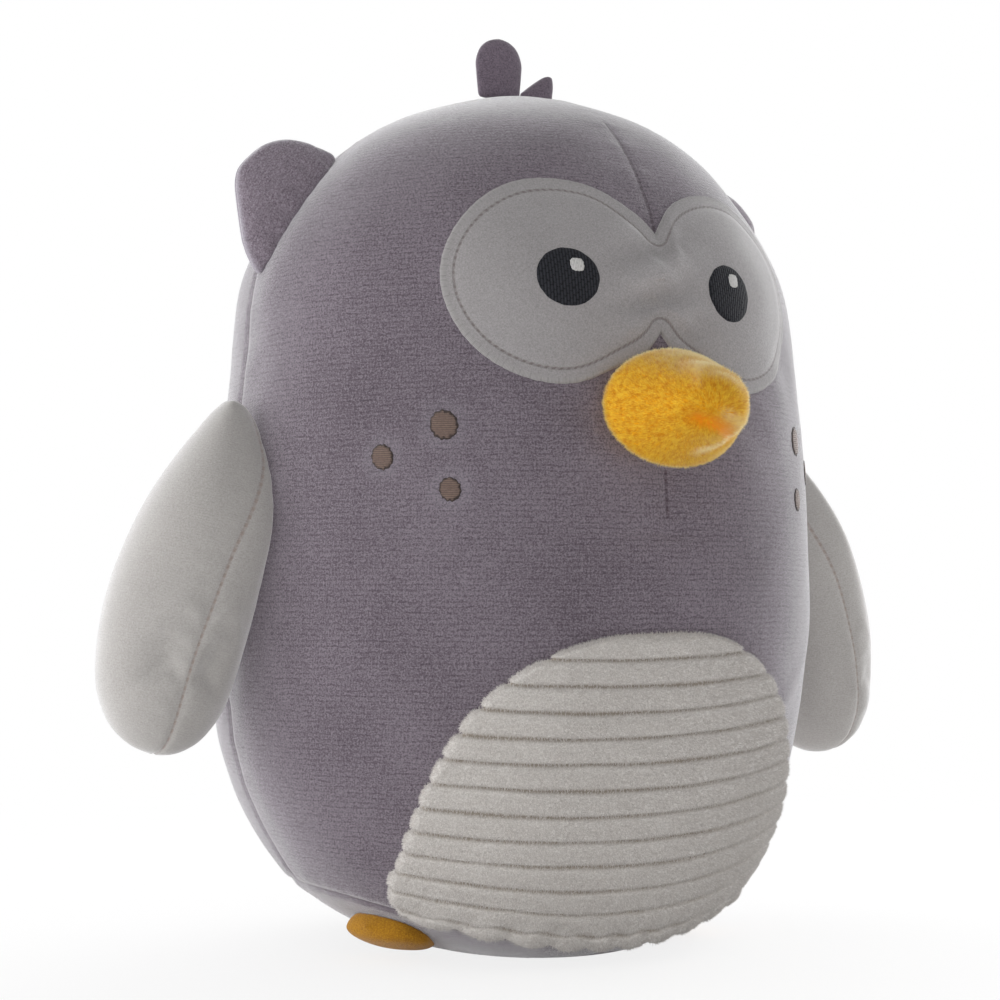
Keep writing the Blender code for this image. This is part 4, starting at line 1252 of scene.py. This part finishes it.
# Painted shade and light on the folds: darker in their hollows, paler on their crests.
recolour(patch_white, lambda tree, colour: made(
    tree, "ShaderNodeVectorMath", 0, {0: colour, "Scale": smooth_step(attribute(tree, "fold"), -1.0, 1.0, 0.87, 1.13)},
    operation="SCALE"))
wear(patch_white, patch)
wear(fabric("Dark felt", (0.088, 0.069, 0.089), (0.192, 0.156, 0.193), fibre=0.9, courses=0.2, wales=0.1, cloud=0.1,
            rim=0.3), *crest)
# The feet's orange is their own colour, darkened further as painted shade under the body.
wear(fabric("Orange plush with painted shade", (0.245, 0.104, 0.005), (0.44, 0.215, 0.014), fibre=1.2, sheen=0.2), *feet)
wear(fabric("Yellow plush", (0.72, 0.31, 0.005), (0.82, 0.43, 0.014), fibre=1.2, sheen=0.1), beak)


# %% Ribbed fleece
def grooved(tree, colour):
    """The fleece is darker in its grooves, and the edge of the dark is ragged."""
    streaks = noise(scaled(cloth_map(tree), 2.6, 0.25, 1.0), 1.0, 3.0, 0.6)
    from_groove = attribute(tree, "rib") - streaks * 0.9
    return mix(smooth_step(from_groove, -0.40, 0.50, 1.0, 0.0), colour, (0.30, 0.262, 0.22))


fleece = fabric("Ribbed fleece", (0.50, 0.475, 0.45), (0.68, 0.655, 0.625), fibre=1.2, cloud=0.2, bump=0.5)
recolour(fleece, grooved)
wear(fleece, belly)


# %% Thread
def stitched(name, dark, light, across_pitch, along_pitch, depth=0.0003, turned=False, ends_share=-0.6, sheen=0.2,
             specular=0.25):
    """Rows of parallel thread: close lines one way, broken where one stitch ends and the next begins."""
    material, tree, shader = plain(name, 0.6, sheen, specular)
    over, down, _ = parts(cloth_map(tree))
    if turned:
        over, down = down, over
    uneven = noise(millimetres(tree), 1.4, 2.0)
    over = over + uneven * 0.12
    thread = (over * (2 * math.pi / across_pitch)).maths("SINE")
    column = (over / across_pitch + 0.25).maths("FLOOR")
    start = (column * 0.618).maths("FRACT")
    ends = (((down + uneven) / along_pitch + start) * (2 * math.pi)).maths("SINE")
    height = thread * 0.5 + 0.5 + smooth_step(ends, 0.75, 1.0) * ends_share
    finish_material(shader, mix(clamp(height * 0.6 + uneven * 0.5), dark, light), height, depth=depth)
    return material


def ringed(tree, colour):
    """A spot has an uneven dark edge, where its thread goes into the nap."""
    reach = attribute(tree, "reach") + noise(millimetres(tree), 1.1, 2.0) * 0.4
    return mix(smooth_step(reach, 0.88, 1.05), colour, (0.030, 0.020, 0.018))


wear(stitched("Navy thread", (0.0012, 0.0014, 0.0025), (0.029, 0.030, 0.037), 0.80, 1.9, ends_share=-0.8, sheen=0.0,
              specular=0.10), *pupils)
wear(stitched("White thread", (0.36, 0.355, 0.35), (0.62, 0.61, 0.60), 0.42, 3.0), *lights)
taupe = stitched("Taupe thread", (0.085, 0.058, 0.048), (0.185, 0.128, 0.106), 0.55, 2.6, turned=True, ends_share=-0.2)
recolour(taupe, ringed)
wear(taupe, *spots)
wear(stitched("Band thread", (0.200, 0.191, 0.191), (0.325, 0.312, 0.309), 0.36, 30.0, depth=0.00012), band)


# %% Tufts
def tufted(name, root, pale, painted_hollow_shade, painted_highlight, sheen_tint, sheen, mottle, rim):
    """Fibres are deeper in colour at their roots, and no two are quite alike. Hollows get painted shade, and marked
    ridges and edges that face the light get a painted highlight.
    """
    material, tree, shader = plain(name, 0.85, sheen, sheen_roughness=0.3)
    patchy = (noise(millimetres(tree), 0.80, 3.0, 0.7) - 0.5) * mottle
    colour = mix(clamp(attribute(tree, "tip") * 0.35 + attribute(tree, "tone") * 0.65 + patchy), root, pale)
    # Painted shade: deeper colour where the beak's crease and hollows are marked.
    colour = mix(smooth_step(attribute(tree, "depth"), 0.0, 1.0), colour, painted_hollow_shade)
    # Painted highlight: paler colour on edges seen edge-on that face the light, and on the beak's marked ridges.
    faces_light = facing(tree, (0.62, 0.30, 0.72))
    edge = edge_on(tree) ** 2.2 * smooth_step(faces_light, -0.2, 0.6, rim * 0.15, rim)
    lit = (attribute(tree, "painted_highlight") * 0.8).maths("MAXIMUM", edge)
    finish_material(shader, mix(lit, colour, painted_highlight))
    shader.inputs["Sheen Tint"].default_value = (*sheen_tint, 1)
    return material


# The beak's pile has painted shade in its hollows and a painted highlight on its ridges and lit edges; the fleece's
# pile a painted highlight on its lit edges.
wear(tufted("Yellow pile", (0.56, 0.190, 0.002), (0.83, 0.545, 0.040), (0.86, 0.28, 0.002), (1.0, 0.86, 0.52),
            (1.0, 0.85, 0.50), 0.7, 2.3, 1.0), beak_pile)
wear(tufted("Fleece pile", (0.38, 0.353, 0.334), (0.67, 0.634, 0.602), (0.4, 0.38, 0.36), (0.92, 0.91, 0.90),
            (1.0, 1.0, 1.0), 0.2, 0.6, 0.3), *belly_piles)

# %% [markdown]
# ## Floor, light and camera
#
# The photograph has a plain white background that wraps light round the owl: its edges glow and
# its front is softly shaded. The world is white to the camera and gives an even light that is
# weaker from the front. Broad lamps behind the owl, with the painted rim light in the fabrics, make
# the bright edges, and soft lamps light it from both sides of the front.
# %% Floor
def seen_directly(tree):
    """1 for what the camera sees, straight or in a reflection, and 0 for what only lights the owl."""
    path = add(tree, "ShaderNodeLightPath").outputs
    straight, mirrored, passing = (Value(tree, path[f"Is {kind} Ray"]) for kind in ("Camera", "Glossy", "Transmission"))
    return straight.maths("MAXIMUM", mirrored.maths("MAXIMUM", passing))


begin()
bpy.ops.mesh.primitive_circle_add(vertices=96, radius=6.0, fill_type="NGON")
floor = bpy.context.object
floor.name = "floor"
floor_white, tree, shader = plain("Pale floor", 0.9, 0.0)
shader.inputs["Base Color"].default_value = (0.9, 0.9, 0.9, 1)
glow = made(tree, "ShaderNodeEmission", 0, {"Color": (1, 1, 1, 1), "Strength": 1.0})
place = made(tree, "ShaderNodeTexCoord", "Object")
from_owl = made(tree, "ShaderNodeVectorMath", "Value", {0: place}, operation="LENGTH")
open_floor = smooth_step(from_owl, 0.10, 0.45, 0.80, 1.0)
blend = {0: seen_directly(tree) * open_floor, 1: Value(tree, shader.outputs[0]), 2: glow}
put(made(tree, "ShaderNodeMixShader", 0, blend), tree.nodes["Material Output"], "Surface")
wear(floor_white, floor)

# %% Light
world = bpy.data.worlds.new("White room")
bpy.context.scene.world = world
world.use_nodes = True
tree = world.node_tree
directions = made(tree, "ShaderNodeTexCoord", "Generated")
behind = made(tree, "ShaderNodeVectorMath", "Value", {0: directions, 1: (0.20, 0.98, 0.0)}, operation="DOT_PRODUCT")
room = smooth_step(behind, -0.60, 0.80, 0.325, 1.15)
seen = seen_directly(tree)
tree.nodes["Background"].inputs["Color"].default_value = (1, 1, 1, 1)
put(seen + room * (1.0 - seen), tree.nodes["Background"], "Strength")

# Each lamp: its place, the height on the owl that it points at, its size in metres, its power in
# watts and whether it casts shadows. Those without stand for light that the room reflects.
for name, place, aim, size, power, shadow in (
    ("front_left_lamp", (-0.65, -0.95, 0.30), 0.11, 0.9, 0.75, True),
    ("front_right_lamp", (0.75, -0.80, 0.32), 0.11, 0.9, 4.3, False),
    ("left_fill_lamp", (-0.95, -0.20, 0.02), 0.07, 0.6, 5.0, False),
    ("back_left_lamp", (-0.95, 0.45, 0.20), 0.11, 0.8, 5.4, False),
    ("back_right_lamp", (0.95, 0.45, 0.35), 0.13, 0.8, 7.6, True),
    ("back_top_lamp", (0.25, 0.60, 1.0), 0.16, 0.8, 1.2, True),
):
    begin()
    bpy.ops.object.light_add(type="AREA", location=place)
    light = bpy.context.object
    light.name = name
    light.rotation_euler = (Vector((0, 0, aim)) - Vector(place)).to_track_quat("-Z", "Y").to_euler()
    light.data.size, light.data.energy, light.data.use_shadow = size, power, shadow

# %% Camera
azimuth, distance, eye_level = math.radians(-29.0), 0.600, 0.099
bpy.ops.object.camera_add(location=(distance * math.sin(azimuth), -distance * math.cos(azimuth), eye_level),
                          rotation=(math.pi / 2, 0, azimuth))
camera = bpy.context.object
camera.data.sensor_width, camera.data.lens = 36.0, 73.188
camera.data.shift_x, camera.data.shift_y = -0.016, 0.10
bpy.context.scene.camera = camera
bpy.context.scene.view_settings.view_transform = "Standard"
